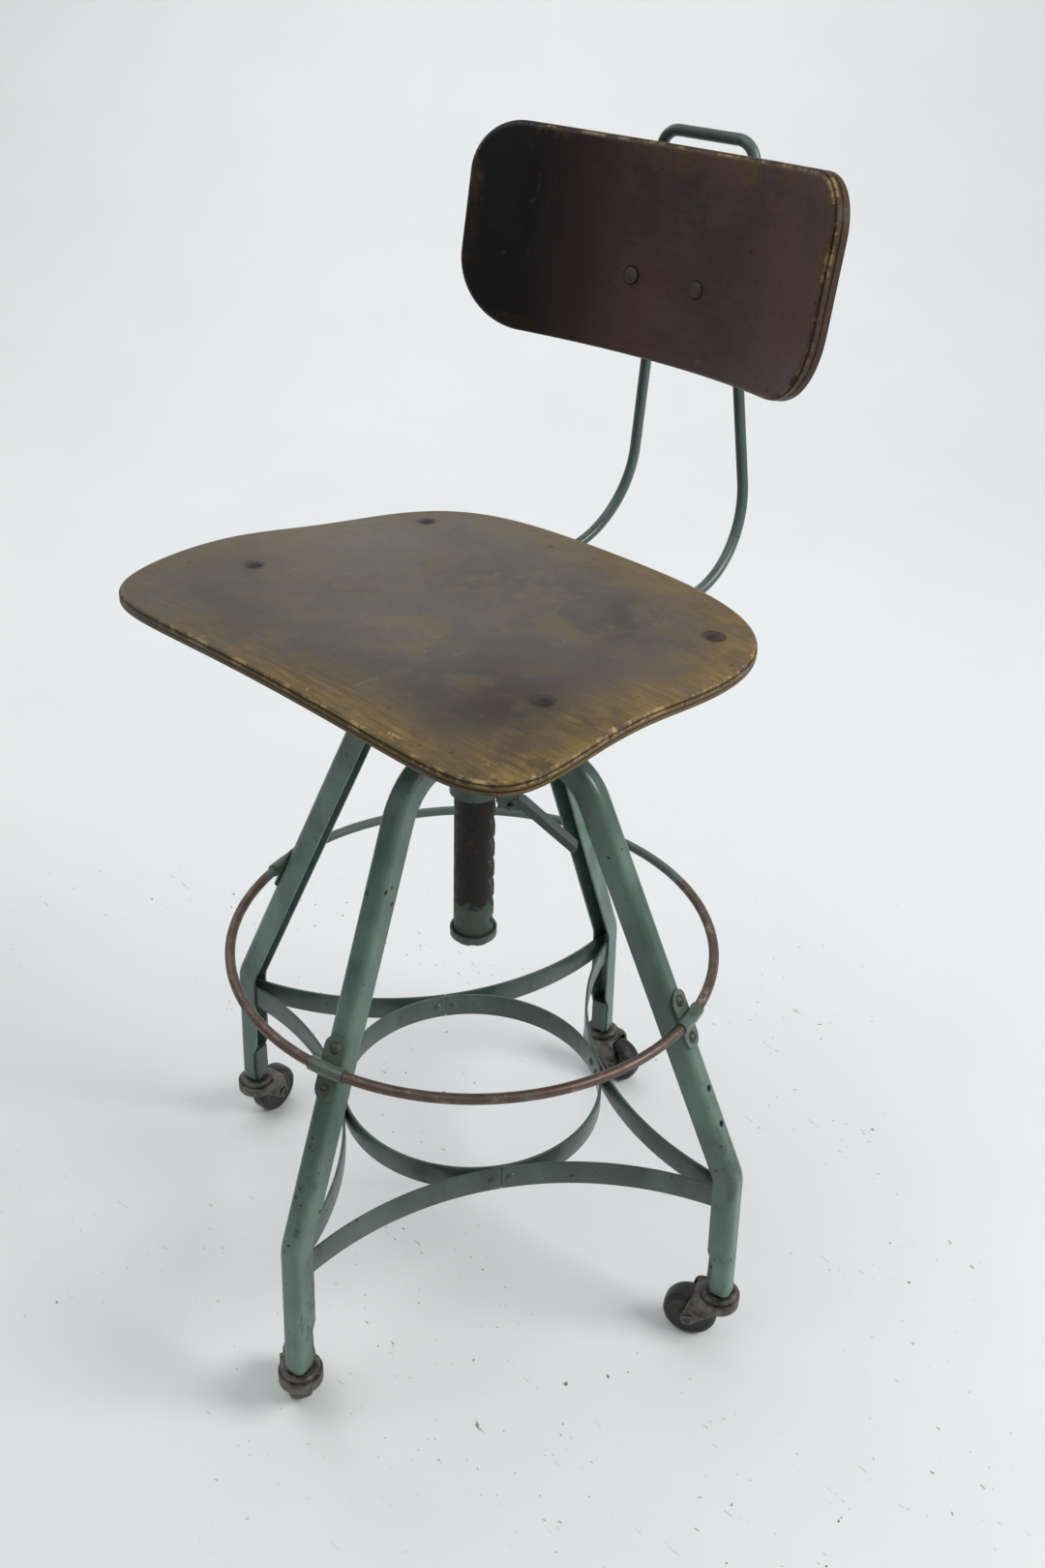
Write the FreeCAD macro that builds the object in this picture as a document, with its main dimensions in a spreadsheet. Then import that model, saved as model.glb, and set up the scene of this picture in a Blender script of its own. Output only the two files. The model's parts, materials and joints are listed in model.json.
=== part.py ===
import FreeCAD, Part

import math
import os

import Sketcher

# A drafting stool on casters: four channel legs, a foot ring, an inner brace ring, a notched
# height post, a swivelling plywood seat and a plywood backrest on one bent spring rod.
#
# Frame: millimetres, +Z up, origin on the floor under the post's axis. The sitter looks along -Y
# and their left hand is at +X.

doc = FreeCAD.newDocument("DraftingStool")
Vector = FreeCAD.Vector
Z_AXIS = Vector(0, 0, 1)
OUTWARDS = Vector(1, 0, 0)
BACKWARDS = Vector(0, 1, 0)
ORIGIN = Vector(0, 0, 0)

DRIVING_SIZES = [
    # name, value, meaning
    ("leg_azimuth", -76.8, "direction of the first leg from +X, degrees"),
    ("leg_width", 19.5, "leg channel, across"),
    ("leg_depth", 22.0, "leg channel, web face to open edge"),
    ("leg_wall", 2.0, "leg channel sheet"),
    ("leg_corner", 6.0, "outer corner radius of the leg channel"),
    ("leg_lean", 24.6, "lean of the leg from vertical, degrees"),
    ("leg_bottom", 60.5, "height of the leg's lower end"),
    ("foot_radius", 272.5, "leg's lower end, from the post's axis"),
    ("knee_radius", 268.0, "knee, from the post's axis"),
    ("knee_height", 198.0, "knee, above the floor"),
    ("knee_bend", 30.0, "centre-line bend radius at the knee"),
    ("shoulder_height", 562.0, "centre line of the leg's level top"),
    ("shoulder_bend", 52.0, "centre-line bend radius at the shoulder"),
    ("leg_inner_end", 25.0, "leg's inner end, from the post's axis"),
    ("ring_radius", 215.9, "foot ring centre line"),
    ("ring_height", 350.4, "foot ring, above the floor"),
    ("ring_rod", 4.5, "foot ring rod radius"),
    ("clip_width", 33.0, "saddle of the ring clip"),
    ("clip_ear", 9.9, "end radius of the ring clip's ears"),
    ("clip_screw_offset", 18.0, "clip screw from the ring, along the leg"),
    ("clip_wall", 1.6, "ring clip sheet"),
    ("brace_radius", 124.1, "outside of the brace ring"),
    ("brace_height", 174.5, "middle of the brace ring, above the floor"),
    ("brace_width", 24.6, "width of the brace strip"),
    ("brace_wall", 2.5, "thickness of the brace strip"),
    ("brace_nose", 5.0, "centre-line radius of the strap's nose in the leg"),
    ("brace_nose_radius", 268.0, "centre of the strap's nose, from the post's axis"),
    ("sleeve_radius", 22.0, "outside of the hub sleeve"),
    ("sleeve_bore", 17.96, "bore radius of the hub sleeve"),
    ("sleeve_bottom", 503.0, "lower end of the hub sleeve"),
    ("sleeve_top", 580.0, "upper end of the hub sleeve"),
    ("hub_plate_radius", 62.0, "hub plates"),
    ("hub_plate_play", 0.05, "gap between the hub plates and the sleeve"),
    ("hub_plate_wall", 4.0, "hub plate thickness"),
    ("hub_bolt_circle", 46.0, "hub bolts, from the post's axis"),
    ("bolt_radius", 3.0, "shank of the 6 mm bolts"),
    ("bolt_play", 0.3, "radial play of a bolt in its hole"),
    ("bolt_hex", 10.0, "6 mm bolt heads and nuts, across the flats"),
    ("bolt_head", 4.0, "height of a 6 mm bolt's head"),
    ("bolt_nut", 5.0, "height of a 6 mm nut"),
    ("post_radius", 17.9, "outside of the ratchet post"),
    ("post_bore", 12.0, "inside of the ratchet post"),
    ("post_bottom", 357.0, "lower end of the post"),
    ("post_top", 640.0, "upper end of the post"),
    ("notch_azimuth", 40.0, "direction of the notches and the lever, degrees"),
    ("notch_pitch", 20.6, "spacing of the notches"),
    ("notch_first", 378.0, "ledge of the lowest notch"),
    ("notch_depth", 5.0, "depth of a notch"),
    ("notch_fall", 13.0, "height of a notch's slope"),
    ("notch_count", 9, "notches"),
    ("lever_pivot_radius", 31.0, "lever pin, from the post's axis"),
    ("lever_pivot_height", 495.5, "lever pin, above the floor"),
    ("lever_width", 13.0, "width of the lever"),
    ("lever_reach", 57.0, "lever's end, from its pin"),
    ("lever_drop", 45.0, "lever's end, below its pin"),
    ("spindle_radius", 8.0, "seat spindle"),
    ("swivel_play", 0.05, "radial running clearance of the swivels"),
    ("spindle_bottom", 602.0, "lower end of the seat spindle"),
    ("spider_height", 656.5, "middle of the seat spider's plate"),
    ("spider_wall", 3.0, "seat spider sheet"),
    ("spider_arm", 26.0, "width of a spider arm"),
    ("seat_height", 681.9, "top of the seat over the post"),
    ("seat_half_width", 222.6, "half the seat's width at mid depth"),
    ("seat_front", 210.8, "front edge ahead of the post"),
    ("seat_back", 159.7, "back edge behind the post"),
    ("seat_taper", 0.063, "how much the seat narrows from middle to back"),
    ("seat_wall", 11.0, "seat plywood"),
    ("seat_bolt_side", 163.1, "seat bolts, sideways from the middle"),
    ("seat_bolt_fore", 95.8, "seat bolts, ahead of and behind the post"),
    ("seat_bolt_head", 8.2, "head radius of a seat bolt"),
    ("washer_radius", 10.0, "rubber washer under the seat"),
    ("washer_height", 1.4, "rubber washer under the seat"),
    ("rod_radius", 4.75, "back rod"),
    ("rod_half_gap", 47.0, "upright rods, sideways from the middle"),
    ("rod_back", 250.0, "upright rods, behind the post"),
    ("rod_low_half_gap", 71.0, "rods under the seat, sideways from the middle"),
    ("rod_low_height", 650.2, "rods under the seat, above the floor"),
    ("rod_low_back", 262.0, "corner of the rod behind the seat"),
    ("rod_bend", 78.0, "bend radius behind the seat"),
    ("rod_splay_top", 840.0, "height where the rods become upright"),
    ("loop_height", 1002.5, "centre line of the loop's top"),
    ("loop_bend", 17.0, "bend radius of the loop's corners"),
    ("rod_front", 40.0, "front ends of the rod, behind the post"),
    ("rod_play", 0.3, "gap between the rods and the sliding clamp"),
    ("panel_arc_radius", 326.0, "front face of the backrest"),
    ("panel_half_arc", 191.5, "half the backrest's width along its curve"),
    ("panel_half_height", 83.0, "half the backrest's height"),
    ("panel_top_corner", 43.0, "upper corner radius of the backrest"),
    ("panel_low_corner", 58.0, "lower corner radius of the backrest"),
    ("panel_wall", 14.0, "backrest plywood"),
    ("panel_tilt", 9.4, "backrest lean, degrees"),
    ("panel_height", 914.4, "middle of the backrest, above the floor"),
    ("panel_back", 210.6, "front face of the backrest behind the post"),
    ("clamp_height", 895.0, "backrest bolts and clamp, above the floor"),
    ("clamp_bolt_side", 33.8, "backrest bolts, sideways from the middle"),
    ("clamp_half_height", 21.0, "half the height of the clamp"),
    ("clamp_half_width", 62.0, "half the width of the clamp"),
    ("wheel_radius", 25.4, "caster wheel"),
    ("wheel_width", 22.0, "caster wheel"),
    ("axle_radius", 3.5, "caster axle"),
    ("axle_half", 16.4, "half the caster axle's length"),
    ("caster_trail", 24.0, "axle behind the caster's stem"),
    ("caster_radius", 271.8, "caster stems, from the post's axis"),
    ("stem_radius", 5.5, "caster stem"),
    ("cap_radius", 17.0, "caster cap"),
    ("cap_top", 59.0, "top of the caster cap"),
    ("horn_top", 54.0, "top of the caster horn"),
    ("horn_radius", 19.5, "round top of the caster horn"),
    ("horn_skirt", 10.0, "depth of the horn's round skirt"),
    ("horn_boss", 6.5, "radius of the cheeks around the axle"),
    ("horn_wall", 2.2, "caster horn sheet"),
    ("horn_half_width", 15.2, "outside of the caster's cheeks"),
]
LEG_COUNT = 4
CASTER_DIRECTIONS = [150.0, -154.0, 9.0, 101.0]  # where each wheel trails, degrees from +X
SPARE_HOLES = [69.0, 105.0]  # unused holes in a leg, down from the ring clip

sheet = doc.addObject("Spreadsheet::Sheet", "Sizes")
for row, (name, value, meaning) in enumerate(DRIVING_SIZES, start=1):
    sheet.set(f"A{row}", meaning)
    sheet.set(f"B{row}", str(value))
    sheet.setAlias(f"B{row}", name)
doc.recompute()


class Size:
    """A length that carries its number and the sheet expression that gives it."""

    def __init__(self, number, text):
        self.number = number
        self.text = text

    def __add__(self, other):
        return Size(self.number + number(other), f"({self.text} + {text(other)})")

    def __radd__(self, other):
        return Size(number(other) + self.number, f"({text(other)} + {self.text})")

    def __sub__(self, other):
        return Size(self.number - number(other), f"({self.text} - {text(other)})")

    def __rsub__(self, other):
        return Size(number(other) - self.number, f"({text(other)} - {self.text})")

    def __mul__(self, other):
        return Size(self.number * number(other), f"({self.text} * {text(other)})")

    def __rmul__(self, other):
        return Size(number(other) * self.number, f"({text(other)} * {self.text})")

    def __truediv__(self, other):
        return Size(self.number / number(other), f"({self.text} / {text(other)})")

    def __neg__(self):
        return Size(-self.number, f"(-{self.text})")


def number(value):
    return value.number if isinstance(value, Size) else float(value)


def text(value):
    return value.text if isinstance(value, Size) else repr(float(value))


class Sizes:
    """Every alias of the sheet as a Size."""


size = Sizes()
for name, value, meaning in DRIVING_SIZES:
    setattr(size, name, Size(float(sheet.get(name)), f"Sizes.{name}"))

nodes = []


# --- building blocks ------------------------------------------------------------------------


def bind(obj, prop, value):
    """Tie a property to the sheet."""
    obj.setExpression(prop, text(value))


def place(obj, x=0, y=0, z=0):
    """Put an object at a point whose coordinates come from the sheet."""
    obj.Placement.Base = Vector(number(x), number(y), number(z))
    for axis, value in (("x", x), ("y", y), ("z", z)):
        if isinstance(value, Size):
            bind(obj, f"Placement.Base.{axis}", value)
    return obj


def turned(obj, angle, x=0, y=0, z=0):
    """Turn an object about +Z and put it at a point."""
    obj.Placement = FreeCAD.Placement(ORIGIN, FreeCAD.Rotation(Z_AXIS, number(angle)))
    bind(obj, "Placement.Rotation.Angle", angle)
    return place(obj, x, y, z)


def box(name, length, width, height, x=0, y=0, z=0):
    """A box from its lowest corner."""
    obj = doc.addObject("Part::Box", name)
    bind(obj, "Length", length)
    bind(obj, "Width", width)
    bind(obj, "Height", height)
    return place(obj, x, y, z)


def cylinder(name, radius, height, x=0, y=0, z=0, axis=Z_AXIS):
    """A cylinder that runs from a point along an axis."""
    obj = doc.addObject("Part::Cylinder", name)
    bind(obj, "Radius", radius)
    bind(obj, "Height", height)
    obj.Placement = FreeCAD.Placement(ORIGIN, FreeCAD.Rotation(Z_AXIS, axis))
    return place(obj, x, y, z)


def cut(name, base, tool):
    obj = doc.addObject("Part::Cut", name)
    obj.Base = base
    obj.Tool = tool
    return obj


def fuse(name, shapes):
    obj = doc.addObject("Part::MultiFuse", name)
    obj.Shapes = shapes
    return obj


def common(name, shapes):
    obj = doc.addObject("Part::MultiCommon", name)
    obj.Shapes = shapes
    return obj


def group(name, members):
    """Identical loose pieces that share one node."""
    obj = doc.addObject("Part::Compound", name)
    obj.Links = members
    return obj


def feature(name, shape):
    obj = doc.addObject("Part::Feature", name)
    obj.Shape = shape
    return obj


def prism(name, wire, direction, forward, backward=0):
    """A closed flat wire pushed along a direction."""
    obj = doc.addObject("Part::Extrusion", name)
    obj.Base = feature(f"{name}Outline", wire)
    obj.DirMode = "Custom"
    obj.Dir = direction
    obj.Solid = True
    bind(obj, "LengthFwd", forward)
    bind(obj, "LengthRev", backward)
    return obj


def keep(obj, label):
    """Name an object as a finished sub-part."""
    obj.Label = label
    nodes.append(obj)
    return obj


def origin_plane(body, role):
    for item in body.Origin.OriginFeatures:
        if item.Role == role:
            return item
    raise ValueError(role)


def outline_sketch(body, role, corners, name="Outline"):
    """A sketch of straight lines whose corners are tied to the sheet."""
    sketch = body.newObject("Sketcher::SketchObject", name)
    sketch.AttachmentSupport = [(origin_plane(body, role), "")]
    sketch.MapMode = "FlatFace"
    points = [Vector(number(x), number(y), 0) for x, y in corners]
    count = len(points)
    for i in range(count):
        sketch.addGeometry(Part.LineSegment(points[i], points[(i + 1) % count]), False)
    for i in range(count):
        sketch.addConstraint(Sketcher.Constraint("Coincident", i, 2, (i + 1) % count, 1))
    for i, corner in enumerate(corners):
        for kind, value in zip(("DistanceX", "DistanceY"), corner):
            rule = Sketcher.Constraint(kind, -1, 1, i, 1, number(value))
            index = sketch.addConstraint(rule)
            sketch.setExpression(f"Constraints[{index}]", text(value))
    return sketch


def revolved(name, corners):
    """A body turned about its own Z axis from (radius, height) corners."""
    body = doc.addObject("PartDesign::Body", name)
    sketch = outline_sketch(body, "XZ_Plane", corners)
    turn = body.newObject("PartDesign::Revolution", "Turn")
    turn.Profile = sketch
    turn.ReferenceAxis = (sketch, ["V_Axis"])
    turn.Angle = 360
    body.Tip = turn
    return body


def tube(name, outer, inner, bottom, top):
    """A plain tube about the post's axis."""
    return revolved(name, [(inner, bottom), (outer, bottom), (outer, top), (inner, top)])


def hexagon(name, across, height, x=0, y=0, z=0, axis=Z_AXIS):
    """A nut or bolt head blank, measured across its flats."""
    obj = doc.addObject("Part::Prism", name)
    obj.Polygon = 6
    bind(obj, "Circumradius", across / math.sqrt(3))
    bind(obj, "Height", height)
    obj.Placement = FreeCAD.Placement(ORIGIN, FreeCAD.Rotation(Z_AXIS, axis))
    return place(obj, x, y, z)


def dome(name, radius, rise, x=0, y=0, z=0, axis=Z_AXIS):
    """A low round head: the cap of a large ball, its flat side at the point."""
    ball_radius = (radius * radius + rise * rise) / (2 * rise)
    ball = doc.addObject("Part::Sphere", f"{name}Ball")
    bind(ball, "Radius", ball_radius)
    place(ball, z=rise - ball_radius)
    blank = cylinder(f"{name}Blank", radius + 1, rise + 1)
    head = common(name, [ball, blank])
    head.Placement = FreeCAD.Placement(ORIGIN, FreeCAD.Rotation(Z_AXIS, axis))
    return place(head, x, y, z)


def around(obj, angle, x=0, y=0, z=0):
    """A finished shape turned about the post's axis, or put down at a point."""
    return turned(group(f"{obj.Name}Turned", [obj]), angle, x, y, z)


def line(start, end):
    return Part.LineSegment(start, end).toShape()


def arc(centre, radius, start, end):
    """A flat arc between two angles in degrees, counted from +X."""
    circle = Part.Circle(centre, Z_AXIS, radius)
    return Part.Arc(circle, math.radians(start), math.radians(end)).toShape()


def rounded_run(points, bends):
    """A wire of straight runs whose inner corners are arcs of the given radii."""
    edges = []
    start = points[0]
    for i in range(1, len(points) - 1):
        corner = points[i]
        back = (points[i - 1] - corner).normalize()
        ahead = (points[i + 1] - corner).normalize()
        half = back.getAngle(ahead) / 2
        tangent = bends[i - 1] / math.tan(half)
        arc_start = corner + back * tangent
        arc_end = corner + ahead * tangent
        middle_way = (back + ahead).normalize()
        middle = corner + middle_way * (bends[i - 1] / math.sin(half) - bends[i - 1])
        edges.append(line(start, arc_start))
        edges.append(Part.Arc(arc_start, middle, arc_end).toShape())
        start = arc_end
    edges.append(line(start, points[-1]))
    return Part.Wire(edges)


# --- legs and hub -----------------------------------------------------------------------------

leg_lean = math.radians(size.leg_lean.number)


def leg_radius_at(height):
    """Centre line of a leg above its knee."""
    rise = height - size.knee_height.number
    return size.knee_radius.number - rise * math.tan(leg_lean)


def leg_path():
    """Centre line of the leg that points along +X, from the foot to the hub."""
    shoulder = size.shoulder_height.number
    points = [
        Vector(size.foot_radius.number, 0, size.leg_bottom.number),
        Vector(size.knee_radius.number, 0, size.knee_height.number),
        Vector(leg_radius_at(shoulder), 0, shoulder),
        Vector(size.leg_inner_end.number, 0, shoulder),
    ]
    return rounded_run(points, [size.knee_bend.number, size.shoulder_bend.number])


def leg_section():
    """Channel with a round-shouldered web outside and its open side towards the post."""
    half = size.leg_width.number / 2
    depth = size.leg_depth.number / 2
    wall = size.leg_wall.number
    corner = size.leg_corner.number
    shoulder = half - corner
    level = depth - corner
    inner = corner - wall
    edges = [
        line(Vector(half, -depth, 0), Vector(half, level, 0)),
        arc(Vector(shoulder, level, 0), corner, 0, 90),
        line(Vector(shoulder, depth, 0), Vector(-shoulder, depth, 0)),
        arc(Vector(-shoulder, level, 0), corner, 90, 180),
        line(Vector(-half, level, 0), Vector(-half, -depth, 0)),
        line(Vector(-half, -depth, 0), Vector(wall - half, -depth, 0)),
        line(Vector(wall - half, -depth, 0), Vector(wall - half, level, 0)),
        arc(Vector(-shoulder, level, 0), inner, 90, 180),
        line(Vector(-shoulder, depth - wall, 0), Vector(shoulder, depth - wall, 0)),
        arc(Vector(shoulder, level, 0), inner, 0, 90),
        line(Vector(half - wall, level, 0), Vector(half - wall, -depth, 0)),
        line(Vector(half - wall, -depth, 0), Vector(half, -depth, 0)),
    ]
    wire = Part.Wire(Part.__sortEdges__(edges))
    foot = Vector(size.foot_radius.number, 0, size.leg_bottom.number)
    knee = Vector(size.knee_radius.number, 0, size.knee_height.number)
    upwards = (knee - foot).normalize()
    outwards = Vector(0, 1, 0).cross(upwards)
    turn = FreeCAD.Rotation(Vector(0, -1, 0), outwards, upwards, "ZXY")
    wire.Placement = FreeCAD.Placement(foot, turn)
    return wire


path_feature = feature("LegPath", leg_path())
section_feature = feature("LegSection", leg_section())

ring_contact = Vector(leg_radius_at(size.ring_height.number), 0, size.ring_height.number)
leg_up = Vector(-math.sin(leg_lean), 0, math.cos(leg_lean))
leg_out = Vector(math.cos(leg_lean), 0, math.sin(leg_lean))
# Where the foot ring's centre line crosses the leg, measured along the leg
ring_centre = Vector(size.ring_radius.number, 0, size.ring_height.number)
ring_foot = ring_contact + leg_up * (ring_centre - ring_contact).dot(leg_up)
leg_face = ring_foot + leg_out * (size.leg_depth.number / 2)


def on_leg(along, out=0.0):
    """A point on the outer face of the +X leg, along it from the foot ring."""
    return leg_face + leg_up * along + leg_out * out


def leg_drill(name, along, radius):
    """A drill through the web of the +X leg."""
    drill = cylinder(name, radius, size.leg_wall + 6, axis=leg_out)
    drill.Placement.Base = on_leg(along, -size.leg_wall.number - 3)
    return drill


def foot_relief():
    """What is trimmed from the flanges where the leg's lower end holds the caster socket."""
    radius = size.foot_radius.number
    bottom = size.leg_bottom.number
    depth = size.leg_depth.number / 2
    relief_inner = radius - depth - 5
    relief_edge = radius - 6.5
    corners = [
        Vector(relief_inner, 0, bottom - 1),
        Vector(relief_edge, 0, bottom - 1),
        Vector(relief_edge, 0, bottom + 34),
        Vector(radius - depth - 1, 0, bottom + 48),
        Vector(relief_inner, 0, bottom + 48),
    ]
    wire = Part.makePolygon(corners + corners[:1])
    return prism("FootRelief", wire, Vector(0, 1, 0), size.leg_width, size.leg_width)


def leg(index):
    """One channel leg with its drilled holes."""
    blank = doc.addObject("Part::Sweep", "LegBlank")
    blank.Sections = [section_feature]
    blank.Spine = (path_feature, [f"Edge{i + 1}" for i in range(len(path_feature.Shape.Edges))])
    blank.Solid = True
    blank.Frenet = False
    screw_hole = size.bolt_radius - 0.5 + size.bolt_play
    offset = size.clip_screw_offset.number
    drills = [leg_drill("ClipHole", along, screw_hole) for along in (offset, -offset)]
    drills += [leg_drill("SpareHole", -along, size.bolt_radius) for along in SPARE_HOLES]
    hub_hole = size.bolt_radius + size.bolt_play
    drills.append(cylinder("HubHole", hub_hole, 40, x=size.hub_bolt_circle, z=size.shoulder_height - 5))
    drills.append(foot_relief())
    whole = cut("Leg", blank, fuse("LegDrills", drills))
    turned(whole, size.leg_azimuth + 90 * index)
    return keep(whole, f"leg_{index + 1}")


def leg_angle(index):
    return size.leg_azimuth + 90 * index


def hub_plate(label, bottom):
    """A round plate over or under the legs' inner ends, with its centre and bolt holes."""
    top = bottom + size.hub_plate_wall
    body = tube("HubPlate", size.hub_plate_radius, size.sleeve_radius + size.hub_plate_play, bottom, top)
    drills = []
    for index in range(LEG_COUNT):
        hole = cylinder(
            "PlateHole",
            size.bolt_radius + size.bolt_play,
            size.hub_plate_wall + 2,
            x=size.hub_bolt_circle,
            z=bottom - 1,
        )
        drills.append(around(hole, leg_angle(index)))
    return keep(cut("Plate", body, fuse("PlateDrills", drills)), label)


def hub():
    """Sleeve that guides the post, the two plates that hold the legs, and their bolts."""
    half_depth = size.leg_depth / 2
    leg_top = size.shoulder_height + half_depth
    leg_under = size.shoulder_height - half_depth
    sleeve = tube("Sleeve", size.sleeve_radius, size.sleeve_bore, size.sleeve_bottom, size.sleeve_top)
    keep(sleeve, "hub_sleeve")
    hub_plate("hub_top_plate", leg_top)
    plate_bottom = leg_under - size.hub_plate_wall
    hub_plate("hub_bottom_plate", plate_bottom)
    across = size.bolt_hex
    head_height = size.bolt_head
    nut_height = size.bolt_nut
    bolts = []
    nuts = []
    for index in range(LEG_COUNT):
        shank_bottom = plate_bottom - nut_height - 2
        shank_length = leg_top + size.hub_plate_wall - shank_bottom
        shank = cylinder("HubShank", size.bolt_radius, shank_length, x=size.hub_bolt_circle, z=shank_bottom)
        head_bottom = leg_top + size.hub_plate_wall
        head = hexagon("HubHead", across, head_height, x=size.hub_bolt_circle, z=head_bottom)
        bolts.append(around(fuse("HubBolt", [shank, head]), leg_angle(index)))
        blank = hexagon("HubNutBlank", across, nut_height, x=size.hub_bolt_circle, z=plate_bottom - nut_height)
        hole_start = plate_bottom - nut_height - 1
        thread = cylinder("HubNutHole", size.bolt_radius, nut_height + 2, x=size.hub_bolt_circle, z=hole_start)
        nuts.append(around(cut("HubNut", blank, thread), leg_angle(index)))
    keep(group("HubBolts", bolts), "hub_bolts")
    keep(group("HubNuts", nuts), "hub_nuts")


# --- foot ring and its clips ------------------------------------------------------------------


def torus(name, rod):
    obj = doc.addObject("Part::Torus", name)
    bind(obj, "Radius1", size.ring_radius)
    bind(obj, "Radius2", rod)
    return place(obj, z=size.ring_height)


def clip_block(name, along, width, inner, outer):
    """A block on the +X leg's outer face, centred on the ring, between two heights off it."""
    block = box(name, width, along, outer - inner)
    corner = ring_foot + leg_out * (size.leg_depth.number / 2 + number(inner))
    corner = corner - leg_up * (number(along) / 2) - Vector(0, number(width) / 2, 0)
    block.Placement = FreeCAD.Placement(corner, FreeCAD.Rotation(Vector(0, 1, 0), leg_up, leg_out, "ZXY"))
    return block


def ring_clip(index):
    """A pressed saddle over the foot ring, with a rounded ear above and below."""
    play = 0.05
    reach = size.ring_rod * 2 + size.clip_wall * 4
    saddle_blank = torus("SaddleBlank", size.ring_rod + play + size.clip_wall)
    window = clip_block("SaddleWindow", reach, size.clip_width, 0.0, reach)
    saddle = common("Saddle", [saddle_blank, window])
    ears = clip_block("Ears", size.clip_screw_offset * 2, size.clip_ear * 2, 0.0, size.clip_wall)
    shapes = [saddle, ears]
    holes = []
    for side in (1, -1):
        along = side * size.clip_screw_offset.number
        ear_end = cylinder("EarEnd", size.clip_ear, size.clip_wall, axis=leg_out)
        ear_end.Placement.Base = on_leg(along)
        shapes.append(ear_end)
        holes.append(leg_drill("EarHole", along, size.bolt_radius - 0.5 + size.bolt_play))
    blank = fuse("ClipBlank", shapes)
    bore = torus("ClipBore", size.ring_rod + play)
    whole = cut("Clip", blank, fuse("ClipDrills", holes + [bore]))
    return keep(around(whole, leg_angle(index)), f"ring_clip_{index + 1}")


def foot_ring():
    """The round rod ring, and the slotted screws and nuts that hold its clips to the legs."""
    keep(torus("FootRing", size.ring_rod), "foot_ring")
    shank_radius = size.bolt_radius - 0.5
    head_radius = 5.4
    head_rise = 3.2
    slot_width = 1.4
    slot_depth = 1.3
    nut_height = 3.2
    screws = []
    nuts = []
    for index in range(LEG_COUNT):
        for side in (1, -1):
            along = side * size.clip_screw_offset.number
            head_base = on_leg(along, size.clip_wall.number)
            head = dome("ScrewHead", head_radius, head_rise, axis=leg_out)
            head.Placement.Base = head_base
            slot = box("Slot", slot_width, 4 * head_radius, slot_depth + 2)
            turn = FreeCAD.Rotation(leg_up, Vector(0, -1, 0), leg_out, "ZXY")
            corner = head_base + leg_out * (head_rise - slot_depth)
            corner = corner - leg_up * (slot_width / 2) + Vector(0, 2 * head_radius, 0)
            slot.Placement = FreeCAD.Placement(corner, turn)
            shank = cylinder("ScrewShank", shank_radius, 9, axis=leg_out)
            shank.Placement.Base = on_leg(along, size.clip_wall.number - 9)
            screws.append(around(fuse("Screw", [cut("SlottedHead", head, slot), shank]), leg_angle(index)))
            nut = hexagon("ClipNutBlank", 8, nut_height, axis=leg_out)
            nut.Placement.Base = on_leg(along, -size.leg_wall.number - nut_height)
            hole = cylinder("ClipNutHole", shank_radius, nut_height + 2, axis=leg_out)
            hole.Placement.Base = on_leg(along, -size.leg_wall.number - nut_height - 1)
            nuts.append(around(cut("ClipNut", nut, hole), leg_angle(index)))
    keep(group("ClipScrews", screws), "clip_screws")
    keep(group("ClipNuts", nuts), "clip_nuts")


# --- inner brace --------------------------------------------------------------------------------

brace_bottom = size.brace_height - size.brace_width / 2
SEAM_GAP = 0.6
RIVET_OFFSET = 8.3


def brace_ring():
    """Inner ring of flat strip, its butt joint at the back."""
    strip = tube(
        "BraceRing",
        size.brace_radius,
        size.brace_radius - size.brace_wall,
        brace_bottom,
        brace_bottom + size.brace_width,
    )
    gap = box("RingGap", 10, SEAM_GAP, size.brace_width + 2, x=size.brace_radius - 6, z=brace_bottom - 1)
    keep(cut("SplitRing", strip, around(gap, leg_angle(2) + 45)), "brace_ring")


def strap_outline():
    """One strap from above: two arms that bow from the ring's side points into a leg."""
    half = size.brace_wall.number / 2
    nose = size.brace_nose.number
    nose_centre = Vector(size.brace_nose_radius.number, 0, 0)
    diagonal = Vector(math.cos(math.pi / 4), math.sin(math.pi / 4), 0)
    seam = diagonal * (size.brace_radius.number + half + 0.02)
    # The arm's circle touches the ring at the seam and the nose in the leg
    offset = seam - nose_centre
    bow = (offset.dot(offset) - nose * nose) / (2 * (nose - offset.dot(diagonal)))
    centre = seam + diagonal * bow
    touch = nose_centre + (centre - nose_centre).normalize() * nose
    touch_angle = math.degrees(math.atan2(touch.y - centre.y, touch.x - centre.x)) % 360
    nose_angle = math.degrees(math.atan2(touch.y, touch.x - nose_centre.x))
    seam_angle = 225 + math.degrees(SEAM_GAP / 2 / bow)

    def arm_point(radius, angle, mirror):
        turn = math.radians(angle)
        return Vector(centre.x + radius * math.cos(turn), mirror * (centre.y + radius * math.sin(turn)), 0)

    def arm(radius, mirror):
        middle = (seam_angle + touch_angle) / 2
        points = [arm_point(radius, angle, mirror) for angle in (seam_angle, middle, touch_angle)]
        return Part.Arc(*points).toShape()

    def end(mirror):
        return line(arm_point(bow - half, seam_angle, mirror), arm_point(bow + half, seam_angle, mirror))

    edges = [
        arm(bow - half, 1),
        arm(bow + half, 1),
        arm(bow - half, -1),
        arm(bow + half, -1),
        end(1),
        end(-1),
        arc(nose_centre, nose + half, -nose_angle, nose_angle),
        arc(nose_centre, nose - half, -nose_angle, nose_angle),
    ]
    return Part.Wire(Part.__sortEdges__(edges))


def seam_rivet_line(side):
    """Angle and radius of a rivet beside a seam, seen from the post's axis."""
    return math.degrees(math.atan2(side * RIVET_OFFSET, size.brace_radius.number))


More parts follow.
